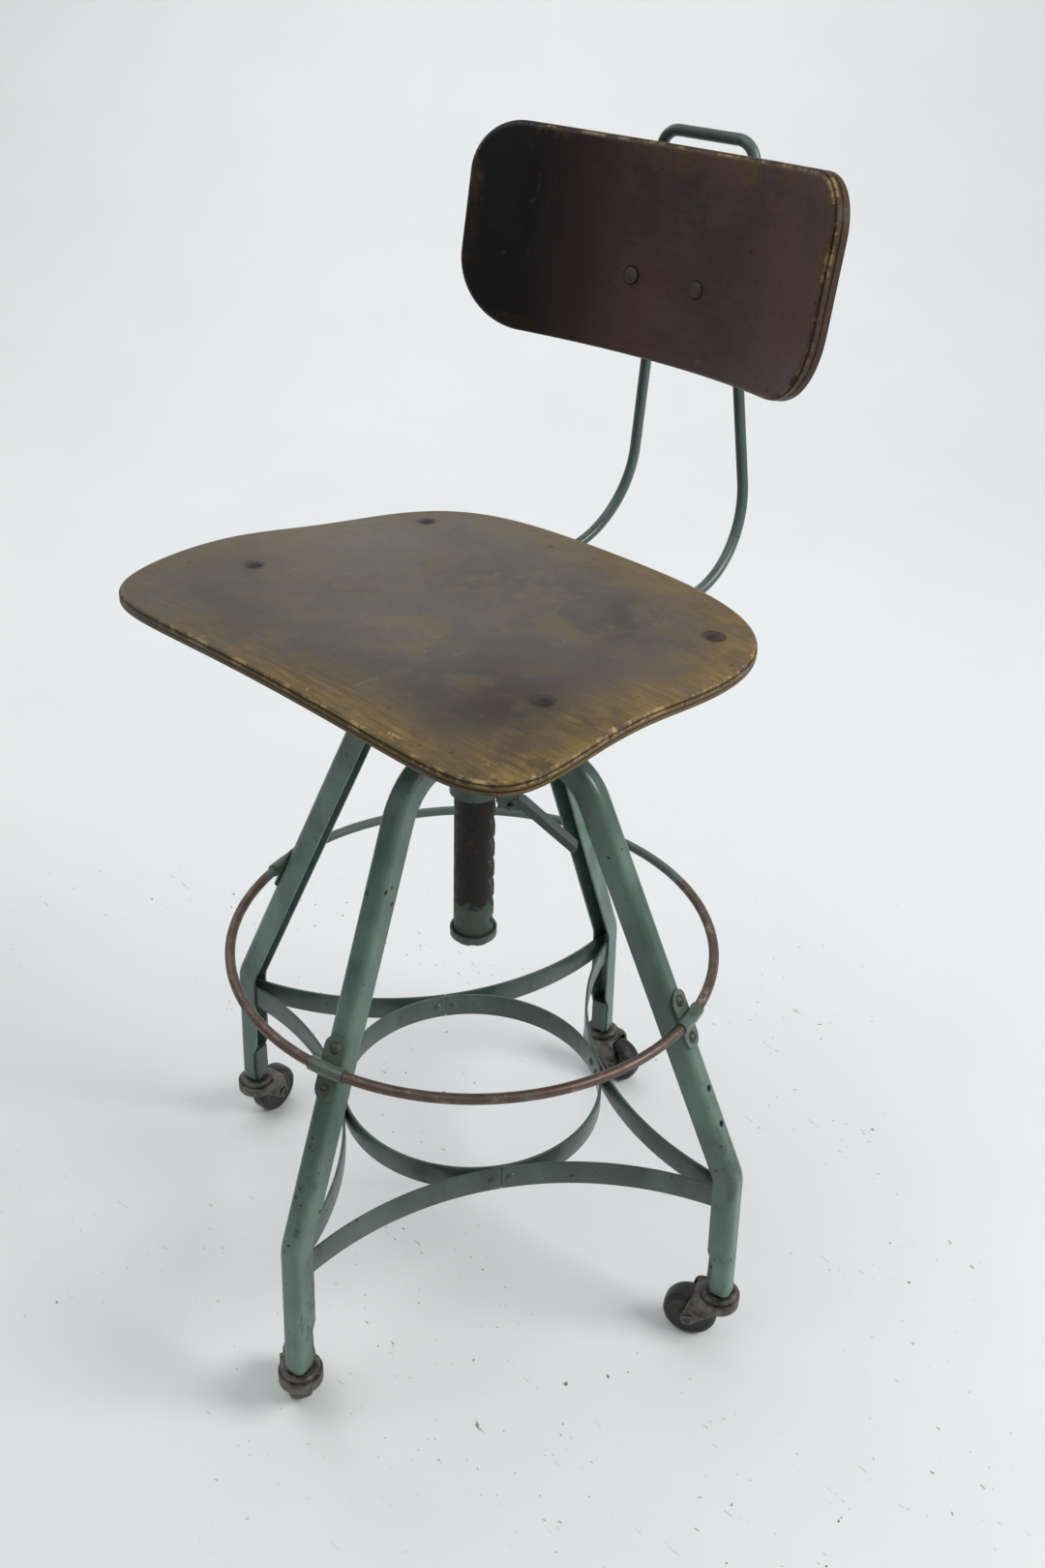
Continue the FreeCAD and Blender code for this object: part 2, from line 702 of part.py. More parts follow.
def brace_straps():
    """Four bowed straps outside the ring, one nested in each leg."""
    for index in range(LEG_COUNT):
        strap = prism("Strap", strap_outline(), Z_AXIS, size.brace_width)
        turned(strap, leg_angle(index), z=brace_bottom)
        keep(strap, f"brace_strap_{index + 1}")


def brace_rivets():
    """Two round-headed rivets beside each seam."""
    shank_radius = 2.2
    head_radius = 4.4
    head_rise = 2.2
    grip = 2 * size.brace_wall.number + 0.6
    rivets = []
    for index in range(LEG_COUNT):
        for side in (1, -1):
            start = size.brace_radius - size.brace_wall - 0.1
            level = size.brace_height
            shank = cylinder("RivetShank", shank_radius, grip, x=start, z=level, axis=OUTWARDS)
            outer = dome("RivetHead", head_radius, head_rise, x=start + grip, z=level, axis=OUTWARDS)
            inner = dome("RivetTail", head_radius, head_rise, x=start, z=level, axis=-OUTWARDS)
            rivet = fuse("Rivet", [shank, outer, inner])
            rivets.append(around(rivet, leg_angle(index) + 45 + seam_rivet_line(side)))
    keep(group("BraceRivets", rivets), "brace_rivets")


# --- height post --------------------------------------------------------------------------------


def ratchet_post():
    """Tube with a row of saw-cut notches: a flat ledge on top and a slope below."""
    post = tube("Post", size.post_radius, size.post_bore, size.post_bottom, size.post_top)
    notch_inner = size.post_radius - size.notch_depth
    notch_outer = size.post_radius + 2
    notch = outline_sketch(
        post,
        "XZ_Plane",
        [
            (notch_inner, size.notch_first),
            (notch_outer, size.notch_first),
            (notch_outer, size.notch_first - size.notch_fall - 4),
            (size.post_radius, size.notch_first - size.notch_fall),
        ],
        "Notch",
    )
    saw = post.newObject("PartDesign::Pocket", "SawCut")
    saw.Profile = notch
    saw.Midplane = True
    saw.Length = 4 * size.post_radius.number
    post.Tip = saw
    doc.recompute()
    row = post.newObject("PartDesign::LinearPattern", "NotchRow")
    row.Originals = [saw]
    row.Direction = (notch, ["V_Axis"])
    count = int(size.notch_count.number)
    row.Occurrences = count
    bind(row, "Length", size.notch_pitch * (size.notch_count - 1))
    post.Tip = row
    turned(post, size.notch_azimuth)
    return keep(post, "ratchet_post")


def post_ends():
    """Plug, cupped end cap and bolt at the bottom of the post; the spindle's bush at its top."""
    bottom = size.post_bottom
    plug_height = 20
    plug_bore = size.bolt_radius + 1
    keep(tube("Plug", size.post_bore, plug_bore, bottom, bottom + plug_height), "post_plug")
    cap = revolved(
        "EndCap",
        [
            (plug_bore, bottom - 4),
            (size.post_radius + 1.6, bottom - 4),
            (size.post_radius + 3.2, bottom - 2),
            (size.post_radius + 3.2, bottom + 5),
            (size.post_radius + 1.4, bottom + 5),
            (size.post_radius + 1.4, bottom),
            (plug_bore, bottom),
        ],
    )
    scallops = []
    for step in range(8):
        scallop = cylinder("Scallop", 4.5, 3, x=size.post_radius + 4.5, z=bottom - 5)
        scallops.append(around(scallop, 45.0 * step))
    keep(cut("ScallopedCap", cap, fuse("Scallops", scallops)), "post_end_cap")
    head = hexagon("EndBoltHead", 12, 5, z=bottom - 9)
    shank = cylinder("EndBoltShank", plug_bore - 0.01, plug_height + 4, z=bottom - 4.5)
    keep(fuse("EndBolt", [head, shank]), "post_end_bolt")
    bush_bore = size.spindle_radius + size.swivel_play
    bush = revolved(
        "Bush",
        [
            (bush_bore, size.post_top - 40),
            (size.post_bore, size.post_top - 40),
            (size.post_bore, size.post_top),
            (size.post_radius + 1, size.post_top),
            (size.post_radius + 1, size.post_top + 3),
            (bush_bore, size.post_top + 3),
        ],
    )
    keep(bush, "post_bush")


# --- release lever ------------------------------------------------------------------------------


def lever_outline():
    """Side view of the lever: the pawl's tip, the pivot boss, the bend and the handle."""
    pivot = size.lever_pivot_radius.number
    level = size.lever_pivot_height.number
    tip = size.post_radius.number + 0.5
    tip_top = level + 5.7
    tip_under = level + 1.0
    bar_top = level + 5.0
    bar_under = level - 6.7
    end = pivot + size.lever_reach.number
    end_under = level - size.lever_drop.number
    points = [
        Vector(tip, 0, tip_top),
        Vector(tip, 0, tip_under),
        Vector(pivot - 4, 0, bar_under),
        Vector(pivot + 10, 0, bar_under),
        Vector(end - 3.5, 0, end_under - 1),
        Vector(end, 0, end_under),
        Vector(end + 1.5, 0, end_under + 4),
        Vector(pivot + 13.5, 0, level + 0.5),
        Vector(pivot + 7, 0, bar_top),
        Vector(pivot - 5, 0, bar_top),
    ]
    return Part.makePolygon(points + points[:1])


def release_lever():
    """Pawl and handle in one bent channel bar, with its bracket, pin and return spring."""
    sideways = Vector(0, 1, 0)
    half = size.lever_width / 2
    pivot = size.lever_pivot_radius
    level = size.lever_pivot_height
    pin_radius = 2.0
    pin_play = 0.05
    cheek = 2.3
    gap = 0.5
    cheek_outside = half + gap + cheek
    groove_wall = 2.2
    groove_width = size.lever_width - 2 * groove_wall
    groove_fall = 42.1
    bar = prism("LeverBar", lever_outline(), sideways, half, half)
    groove = box("LeverGroove", 80, groove_width, 5)
    groove.Placement = FreeCAD.Placement(
        Vector(pivot.number + 9, -groove_width.number / 2, level.number - 9),
        FreeCAD.Rotation(sideways, groove_fall),
    )
    hole_length = size.lever_width + 4
    hole = cylinder("LeverHole", pin_radius + pin_play, hole_length, pivot, -(half + 2), level, sideways)
    lever = cut("Lever", bar, fuse("LeverCuts", [groove, hole]))
    keep(around(lever, size.notch_azimuth), "release_lever")

    ear_start = size.sleeve_radius - 3
    ear_bottom = level - 4
    ear_height = 20
    ear_length = pivot + 6 - ear_start
    ears = box("Ears", ear_length, 2 * cheek_outside, ear_height, ear_start, -cheek_outside, ear_bottom)
    slot_half = half + gap
    slot = box("EarSlot", 30, 2 * slot_half, ear_height + 10, ear_start - 5, -slot_half, ear_bottom - 2)
    pin_hole = cylinder("EarHole", pin_radius + pin_play, 30, pivot, -15, level, sideways)
    bore = cylinder("EarBore", size.sleeve_radius, 2 * ear_height, z=ear_bottom - 6)
    bracket = cut("Bracket", ears, fuse("BracketCuts", [slot, pin_hole, bore]))
    keep(around(bracket, size.notch_azimuth), "lever_bracket")

    pin_half = cheek_outside + 5
    shank = cylinder("PinShank", pin_radius, 2 * pin_half, pivot, -pin_half, level, sideways)
    head = dome("PinHead", pin_radius + 1.4, 1.2, pivot, pin_half, level, sideways)
    keep(around(fuse("Pin", [shank, head]), size.notch_azimuth), "lever_pin")

    wire = 0.6
    coil_radius = pin_radius + 2 * wire
    coil_pitch = 1.9 * wire
    coil_count = 4
    first_coil = cheek_outside + 0.8
    coils = []
    for turn in range(coil_count):
        coil = doc.addObject("Part::Torus", "Coil")
        bind(coil, "Radius1", coil_radius)
        bind(coil, "Radius2", wire)
        coil.Placement = FreeCAD.Placement(ORIGIN, FreeCAD.Rotation(Z_AXIS, sideways))
        coils.append(place(coil, pivot, first_coil + turn * coil_pitch, level))
    tail = cylinder("CoilTail", wire, 12, pivot + coil_radius, first_coil, level)
    keep(around(fuse("Spring", coils + [tail]), size.notch_azimuth), "lever_spring")


# --- seat -----------------------------------------------------------------------------------------

SEAT_HEAD_SINK = 0.9  # how far a seat bolt's head is let into the plywood
SPOT_FACE = 0.4  # how far a washer is let into the underside
ROD_BOLT_OFFSET = 21.0  # rod clamp bolts, either side of a rod
CLAMP_WALL = 3.0  # sheet of both clamp plates
CLAMP_GAP = 0.4  # a clamp plate's flat, behind the rods' centre line
rod_clamp_middle = size.rod_front + 37


def seat_top(x, y):
    """Height of the seat's upper face: flat middle, sides that dip, and a rolled front."""
    back_slope = 0.03
    side_dip = 10.75
    front_drop = 3.75
    roll_length = 90.0
    thigh_rise, thigh_ahead, thigh_length = 12.1, 80.0, 96.0
    dish_depth, dish_behind, dish_half_width, dish_half_length = 4.0, 10.0, 130.0, 95.0
    across = (x / size.seat_half_width.number) ** 2
    roll = max(0.0, (-y - size.seat_front.number) / roll_length + 1) ** 2
    thigh = across * math.exp(-(((y + thigh_ahead) / thigh_length) ** 2))
    dish = math.exp(-((x / dish_half_width) ** 2) - ((y - dish_behind) / dish_half_length) ** 2)
    level = size.seat_height.number - back_slope * y
    return level - side_dip * across - front_drop * roll + thigh_rise * thigh - dish_depth * dish


def seat_outline():
    """Rounded plan of the seat, squarer in front and narrower behind."""
    back_squareness = 4.0
    front_squareness = 6.7
    point_count = 72
    half_width = size.seat_half_width.number
    half_length = (size.seat_front.number + size.seat_back.number) / 2
    middle = (size.seat_back.number - size.seat_front.number) / 2
    points = []
    for step in range(point_count):
        angle = 2 * math.pi * step / point_count
        power = back_squareness if math.sin(angle) > 0 else front_squareness
        reach = abs(math.cos(angle) / half_width) ** power + abs(math.sin(angle) / half_length) ** power
        radius = reach ** (-1 / power)
        along = radius * math.sin(angle)
        taper = 1 - size.seat_taper.number * along / half_length
        points.append(Vector(radius * math.cos(angle) * taper, middle + along, 0))
    curve = Part.BSplineCurve()
    curve.interpolate(points, PeriodicFlag=True)
    return Part.Wire([curve.toShape()])


def seat_shell():
    """Moulded plywood seat, recessed for its bolt heads and spot-faced for the washers."""
    columns = [-260 + 40 * i for i in range(14)]
    rows = [-240 + 35 * i for i in range(13)]
    grid = [[Vector(x, y, seat_top(x, y)) for y in rows] for x in columns]
    surface = Part.BSplineSurface()
    surface.interpolate(grid)
    slab = doc.addObject("Part::Extrusion", "SeatSlab")
    slab.Base = feature("SeatFace", surface.toShape())
    slab.DirMode = "Custom"
    slab.Dir = Vector(0, 0, -1)
    slab.Solid = True
    bind(slab, "LengthFwd", size.seat_wall)
    plan = prism("SeatPlan", seat_outline(), Z_AXIS, size.seat_height + 60)
    blank = common("SeatBlank", [slab, plan])
    stages = [blank]
    for x, y in seat_bolt_places():
        top = seat_top(number(x), number(y))
        under = top - size.seat_wall.number
        drill = fuse(
            "SeatDrill",
            [
                cylinder("HeadRecess", size.seat_bolt_head + 0.2, 20, x, y, top - SEAT_HEAD_SINK),
                cylinder("SeatHole", size.bolt_radius + size.bolt_play, 40, x, y, under - 15),
                cylinder("SpotFace", size.washer_radius + 0.3, 20, x, y, under - 20 + SPOT_FACE),
            ],
        )
        stages.append(cut("DrilledSeat", stages[-1], drill))
    keep(stages[-1], "seat_shell")


def seat_bolt_places():
    side = size.seat_bolt_side
    fore = size.seat_bolt_fore
    return [(side, -fore), (side, fore), (-side, fore), (-side, -fore)]


def seat_bolts():
    """Round-headed bolts through the seat, and their rubber washers and nuts under the spider."""
    head_rise = 2.9
    bolts = []
    washers = []
    nuts = []
    nut_height = size.bolt_nut
    for x, y in seat_bolt_places():
        top = seat_top(number(x), number(y))
        pad = top - size.seat_wall + SPOT_FACE - size.washer_height
        arm_bottom = pad - size.spider_wall
        head_base = top - SEAT_HEAD_SINK
        head = dome("SeatBoltHead", size.seat_bolt_head, head_rise, x, y, head_base)
        shank_bottom = arm_bottom - nut_height - 2
        shank = cylinder("SeatBoltShank", size.bolt_radius, head_base + 0.5 - shank_bottom, x, y, shank_bottom)
        bolts.append(fuse("SeatBolt", [head, shank]))
        ring = cylinder("WasherBlank", size.washer_radius, size.washer_height, x, y, pad)
        washers.append(cut("Washer", ring, cylinder("WasherHole", size.bolt_radius + 0.2, 4, x, y, pad - 1)))
        blank = hexagon("SeatNutBlank", size.bolt_hex, nut_height, x, y, arm_bottom - nut_height)
        hole = cylinder("SeatNutHole", size.bolt_radius, nut_height + 2, x, y, arm_bottom - nut_height - 1)
        nuts.append(cut("SeatNut", blank, hole))
    keep(group("SeatBolts", bolts), "seat_bolts")
    keep(group("SeatWashers", washers), "seat_washers")
    keep(group("SeatNuts", nuts), "seat_nuts")


def spider_arm(x, y):
    """One cranked strip from the spider's middle to a seat bolt."""
    arm_start, crank_start = 20.0, 64.0
    crank_inset, arm_overhang = 24.0, 13.0
    reach = math.hypot(number(x), number(y))
    wall = size.spider_wall.number
    low = size.spider_height.number + wall / 2
    high = seat_top(number(x), number(y)) - size.seat_wall.number + SPOT_FACE - size.washer_height.number
    top = [
        Vector(arm_start, 0, low),
        Vector(crank_start, 0, low),
        Vector(reach - crank_inset, 0, high),
        Vector(reach + arm_overhang, 0, high),
    ]
    below = [Vector(point.x, 0, point.z - wall) for point in reversed(top)]
    outline = Part.makePolygon(top + below + top[:1])
    strip = prism("ArmStrip", outline, Vector(0, 1, 0), size.spider_arm / 2, size.spider_arm / 2)
    direction = math.degrees(math.atan2(number(y), number(x)))
    return around(strip, direction)


def seat_spider():
    """Pressed plate with four arms that carries the seat, and the spindle it turns on."""
    disc_radius = 50
    bar_width = 34
    tongue_half = 30
    plate_bottom = size.spider_height - size.spider_wall / 2
    disc = cylinder("SpiderDisc", disc_radius, size.spider_wall, z=plate_bottom)
    bar_half = size.rod_low_half_gap + ROD_BOLT_OFFSET + 12
    bar_start = rod_clamp_middle - bar_width / 2
    bar = box("RodBar", 2 * bar_half, bar_width, size.spider_wall, -bar_half, bar_start, plate_bottom)
    tongue = box("Tongue", 2 * tongue_half, bar_start + 10, size.spider_wall, -tongue_half, 0, plate_bottom)
    arms = [spider_arm(x, y) for x, y in seat_bolt_places()]
    hole_radius = size.bolt_radius + size.bolt_play
    drills = [cylinder("ArmHole", hole_radius, 60, x, y, plate_bottom - 20) for x, y in seat_bolt_places()]
    drills += [cylinder("BarHole", hole_radius, 20, x, y, plate_bottom - 10) for x, y in rod_bolt_places()]
    whole = cut("Spider", fuse("SpiderBlank", [disc, bar, tongue] + arms), fuse("SpiderDrills", drills))
    keep(whole, "seat_spider")

    flange_radius = 36
    flange_wall = 3
    shoulder = size.post_top + 3.3
    spindle = revolved(
        "Spindle",
        [
            (0, size.spindle_bottom),
            (size.spindle_radius, size.spindle_bottom),
            (size.spindle_radius, shoulder),
            (size.post_radius + 2, shoulder),
            (size.post_radius + 2, shoulder + 5),
            (flange_radius, plate_bottom - flange_wall),
            (flange_radius, plate_bottom),
            (0, plate_bottom),
        ],
    )
    keep(spindle, "swivel_spindle")


# --- back rod ---------------------------------------------------------------------------------------


def rod_bolt_places():
    inner = size.rod_low_half_gap - ROD_BOLT_OFFSET
    outer = size.rod_low_half_gap + ROD_BOLT_OFFSET
    return [(side, rod_clamp_middle) for side in (outer, inner, -inner, -outer)]


def back_rod():
    """One spring-steel rod: under the seat, up behind the backrest and over in a loop."""
    low = size.rod_low_half_gap.number
    high = size.rod_half_gap.number
    back = size.rod_back.number
    right = [
        Vector(low, size.rod_front.number, size.rod_low_height.number),
        Vector(low, size.rod_low_back.number, size.rod_low_height.number),
        Vector(high, back, size.rod_splay_top.number),
        Vector(high, back, size.loop_height.number),
    ]
    left = [Vector(-point.x, point.y, point.z) for point in reversed(right)]
    splay_bend = 100.0
    bends = [size.rod_bend.number, splay_bend, size.loop_bend.number]
    spine = feature("RodPath", rounded_run(right + left, bends + bends[::-1]))
    circle = Part.Circle(right[0], Vector(0, 1, 0), size.rod_radius.number)
    section = feature("RodSection", Part.Wire([circle.toShape()]))
    rod = doc.addObject("Part::Sweep", "BackRod")
    rod.Sections = [section]
    rod.Spine = (spine, [f"Edge{i + 1}" for i in range(len(spine.Shape.Edges))])
    rod.Solid = True
    rod.Frenet = False
    keep(rod, "back_rod")


def clamp(name, rod_side, half_width, half_height, gap):
    """Clamp plate in its own frame: rods along Z at y = 0, the plate on their +Y side."""
    bore = size.rod_radius + gap
    bottom = -half_height
    height = 2 * half_height
    pieces = [box("ClampFlat", 2 * half_width, CLAMP_WALL, height, -half_width, CLAMP_GAP, bottom)]
    bores = []
    for side in (1, -1):
        pieces.append(cylinder("Saddle", bore + CLAMP_WALL, height, rod_side * side, 0, bottom))
        bores.append(cylinder("SaddleBore", bore, height + 2, rod_side * side, 0, bottom - 1))
    depth = 20
    side = -half_width - 1
    front = box("ClampFront", 2 * half_width + 2, depth, height + 2, side, CLAMP_GAP - depth, bottom - 1)
    return cut(name, fuse(f"{name}Blank", pieces), fuse(f"{name}Bores", bores + [front]))


def rod_clamp():
    """Clamp plate under the spider that grips the rod, with its four bolts and nuts."""
    clamp_half_height = 15
    grip = 0.05
    half_width = size.rod_low_half_gap + ROD_BOLT_OFFSET + 11
    plate = clamp("RodClampPlate", size.rod_low_half_gap, half_width, clamp_half_height, grip)
    carrier = group("RodClampTurned", [plate])
    carrier.Placement.Rotation = FreeCAD.Rotation(Vector(1, 0, 0), -90)
    place(carrier, 0, rod_clamp_middle, size.rod_low_height)
    plate_bottom = size.rod_low_height - CLAMP_GAP - CLAMP_WALL
    spider_top = size.spider_height + size.spider_wall / 2
    drills = []
    bolts = []
    nuts = []
    for x, y in rod_bolt_places():
        drills.append(cylinder("ClampHole", size.bolt_radius + size.bolt_play, 20, x, y, plate_bottom - 10))
        head = hexagon("ClampBoltHead", size.bolt_hex, size.bolt_head, x, y, plate_bottom - size.bolt_head)
        shank_length = spider_top - plate_bottom + 6
        shank = cylinder("ClampBoltShank", size.bolt_radius, shank_length, x, y, plate_bottom - 1)
        bolts.append(fuse("ClampBolt", [head, shank]))
        blank = hexagon("ClampBoltNut", size.bolt_hex, size.bolt_head, x, y, spider_top)
        nuts.append(cut("ClampNut", blank, cylinder("ClampNutHole", size.bolt_radius, 8, x, y, spider_top - 1)))
    keep(cut("RodClamp", carrier, fuse("ClampDrills", drills)), "rod_clamp")
    keep(group("RodClampBolts", bolts), "rod_clamp_bolts")
    keep(group("RodClampNuts", nuts), "rod_clamp_nuts")


# --- backrest ---------------------------------------------------------------------------------------

panel_turn = FreeCAD.Rotation(Vector(1, 0, 0), -size.panel_tilt.number)
clamp_back = size.rod_back + CLAMP_GAP + CLAMP_WALL


def leaned(obj):
    """Lean a shape from the panel's own frame, whose origin is the middle of its front face."""
    carrier = group(f"{obj.Name}Leaned", [obj])
    carrier.Placement.Rotation = panel_turn
    bind(carrier, "Placement.Rotation.Angle", -size.panel_tilt)
    return place(carrier, 0, size.panel_back, size.panel_height)


def panel_corners():
    """Points round each corner of the unrolled board; the lower corners are rounder."""
    steps = 8
    side = size.panel_half_arc.number
    top = size.panel_half_height.number
    corners = []
    for right, up, start in ((1, 1, 0), (-1, 1, 90), (-1, -1, 180), (1, -1, 270)):
        radius = (size.panel_top_corner if up > 0 else size.panel_low_corner).number
        centre = Vector(right * (side - radius), up * (top - radius), 0)
        angles = [math.radians(start + 90 * step / steps) for step in range(steps + 1)]
        corners.append([centre + Vector(math.cos(angle), math.sin(angle), 0) * radius for angle in angles])
    return corners


def panel_window(behind):
    """The outline where the board's edges, square to its faces, cross a plane behind its front."""
    radius = size.panel_arc_radius.number
    bends = []
    for corner in panel_corners():
        bends.append([Vector((radius + behind) * math.tan(p.x / radius), behind, p.y) for p in corner])
    edges = []
    for i, bend in enumerate(bends):
        curve = Part.BSplineCurve()
        curve.interpolate(bend)
        edges.append(curve.toShape())
        edges.append(line(bend[-1], bends[(i + 1) % 4][0]))
    return Part.Wire(edges)


def panel_front(side, height):
    """Front face of the leaned panel at a sideways place and a height above the floor."""
    radius = size.panel_arc_radius.number
    sag = radius - math.sqrt(radius**2 - side**2)
    drop = size.panel_height.number - height
    lean = math.radians(size.panel_tilt.number)
    return size.panel_back.number - sag / math.cos(lean) - drop * math.tan(lean)


def panel_blank():
    """The curved plywood board before it is drilled."""
    reach = 2 * size.panel_half_height + 40
    radius = size.panel_arc_radius
    outer = cylinder("PanelOuter", radius + size.panel_wall, reach, 0, -radius, -reach / 2)
    inner = cylinder("PanelInner", radius, reach + 2, 0, -radius, -reach / 2 - 1)
    window = doc.addObject("Part::Loft", "PanelWindow")
    window.Sections = [
        feature("WindowFront", panel_window(-100)),
        feature("WindowBack", panel_window(size.panel_wall.number + 10)),
    ]
    window.Solid = True
    window.Ruled = True
    return leaned(common("PanelBlank", [cut("PanelCurve", outer, inner), window]))


def along_bolt(obj, side, behind_face):
    """Put a shape on a backrest bolt's line, square to the panel at its front face."""
    face = panel_front(side.number, size.clamp_height.number)
    facing = panel_turn.multVec(-BACKWARDS)
    start = Vector(side.number, face, size.clamp_height.number) - facing * behind_face
    obj.Placement = FreeCAD.Placement(start, FreeCAD.Rotation(Z_AXIS, facing))
    return obj


def wing_nut(side):
    """Wing nut with two straight ears clear of the clamp's saddles."""
    hub_radius, hub_height = 5.5, 10.0
    ear_reach, ear_wall, ear_height, ear_start = 15.0, 3.0, 9.0, 5.5
    start = clamp_back
    level = size.clamp_height
    hub_blank = cylinder("WingHub", hub_radius, hub_height, side, start, level, BACKWARDS)
    ear_bottom = level - ear_height / 2
    ears = box("Wing", 2 * ear_reach, ear_wall, ear_height, side - ear_reach, start + ear_start, ear_bottom)
    hole = cylinder("WingHole", size.bolt_radius, hub_height + 6, side, start - 2, level, BACKWARDS)
    return cut("WingNut", fuse("WingBlank", [hub_blank, ears]), hole)


def backrest():
    """Curved plywood panel with the two bolts and wing nuts that clamp it to the rods."""
    head_radius = 6.3
    head_sink = 1.3
    head_height = 2.6
    head_crown = 0.7
    level = size.clamp_height
    drills = []
    bolts = []
    nuts = []
    for side in (size.clamp_bolt_side, -size.clamp_bolt_side):
        drills.append(cylinder("PanelHole", size.bolt_radius + size.bolt_play, 90, side, 185, level, BACKWARDS))
        drills.append(along_bolt(cylinder("Recess", head_radius + 0.2, 8), side, head_sink))
        disc = along_bolt(cylinder("BackBoltHead", head_radius, head_height), side, head_sink)
        crown = along_bolt(dome("BackBoltCrown", head_radius, head_crown), side, head_sink - head_height)
        shank_start = panel_front(side.number, level.number) + 0.5
        shank_length = clamp_back + 15 - shank_start
        shank = cylinder("BackBoltShank", size.bolt_radius, shank_length, side, shank_start, level, BACKWARDS)
        bolts.append(fuse("BackBolt", [disc, crown, shank]))
        nuts.append(wing_nut(side))
    keep(cut("Panel", panel_blank(), fuse("PanelDrills", drills)), "backrest_panel")
    keep(group("BackBolts", bolts), "back_bolts")
    keep(group("WingNuts", nuts), "wing_nuts")


def back_clamp():
    """Channel bracket behind the panel and the clamp plate that closes on the rods."""
    half_width = size.clamp_half_width
    half_height = size.clamp_half_height
    wall = 2.5
    side_depth = 50
    web_back = size.rod_back - size.rod_radius - size.rod_play
    bottom = size.clamp_height - half_height
    web = box("Web", 2 * half_width, wall, 2 * half_height, -half_width, web_back - wall, bottom)
    sides = []
    for start in (-half_width, half_width - wall):
        sides.append(box("WebSide", wall, side_depth, 2 * half_height, start, web_back - side_depth, bottom))
    radius = size.panel_arc_radius + size.panel_wall + 0.1
    reach = 4 * size.panel_half_height
    panel_space = leaned(cylinder("PanelSpace", radius, 2 * reach, 0, -size.panel_arc_radius, -reach))
    hole_radius = size.bolt_radius + size.bolt_play
    web_drills = []
    plate_drills = []
    for side in (size.clamp_bolt_side, -size.clamp_bolt_side):
        for drills in (web_drills, plate_drills):
            drills.append(cylinder("BackHole", hole_radius, 60, side, 215, size.clamp_height, BACKWARDS))
    bracket_blank = fuse("BracketBlank", [web] + sides)
    keep(cut("Bracket", bracket_blank, fuse("BracketTools", web_drills + [panel_space])), "back_bracket")
    plate = clamp("BackClampPlate", size.rod_half_gap, half_width, half_height - 3, size.rod_play)
    carrier = place(group("BackClampPlaced", [plate]), 0, size.rod_back, size.clamp_height)
    keep(cut("BackClamp", carrier, fuse("BackClampDrills", plate_drills)), "back_clamp_plate")


# --- casters ----------------------------------------------------------------------------------------


def at_caster(obj, index, direction=None):
    """Carry a shape from a caster's own frame to its leg; the wheel trails along +X there."""
    angle = leg_angle(index)
    turn = -angle if direction is None else direction - angle
    here = around(obj, turn, x=size.caster_radius)
    return around(here, angle)


def caster_stems():
    """Stem, cap and swaged lower end of each caster, and the sockets they sit in."""
    swage_height = 4
    stem_reach = 38
    socket_wall = 2.05
    socket_heel = 10.4
    cap_bottom = size.horn_top + 0.4
    cap_dish = 1.5
    plate_under = size.horn_top - size.horn_wall
    stem_top = size.leg_bottom + stem_reach
    stems = []
    sockets = []
    for index in range(LEG_COUNT):
        stem = revolved(
            "Stem",
            [
                (0, plate_under - swage_height),
                (size.stem_radius + 1, plate_under - swage_height),
                (size.stem_radius + 2.5, plate_under - 0.3),
                (size.stem_radius, plate_under - 0.3),
                (size.stem_radius, cap_bottom),
                (size.cap_radius - 0.5, cap_bottom),
                (size.cap_radius, cap_bottom + 0.6),
                (size.cap_radius, size.cap_top - 2),
                (size.cap_radius - 1.5, size.cap_top),
                (size.cap_radius - 5, size.cap_top),
                (size.stem_radius + 2, size.cap_top - cap_dish),
                (size.stem_radius, size.cap_top - cap_dish),
                (size.stem_radius, stem_top - 2),
                (size.stem_radius - 2, stem_top),
                (0, stem_top),
            ],
        )
        stems.append(at_caster(stem, index))
        bore = size.stem_radius + 0.05
        outside = bore + socket_wall
        bottom = size.leg_bottom + 1
        height = stem_reach + 1
        sleeve = cylinder("SocketSleeve", outside, height, z=bottom)
        heel = box("SocketHeel", socket_heel, 2 * outside, height, -socket_heel, -outside, bottom)
        hole = cylinder("SocketBore", bore, height + 2, z=bottom - 1)
        socket = cut("Socket", fuse("SocketBlank", [sleeve, heel]), hole)
        sockets.append(at_caster(socket, index, leg_angle(index)))
    keep(group("CasterStems", stems), "caster_stems")
    keep(group("CasterSockets", sockets), "caster_sockets")


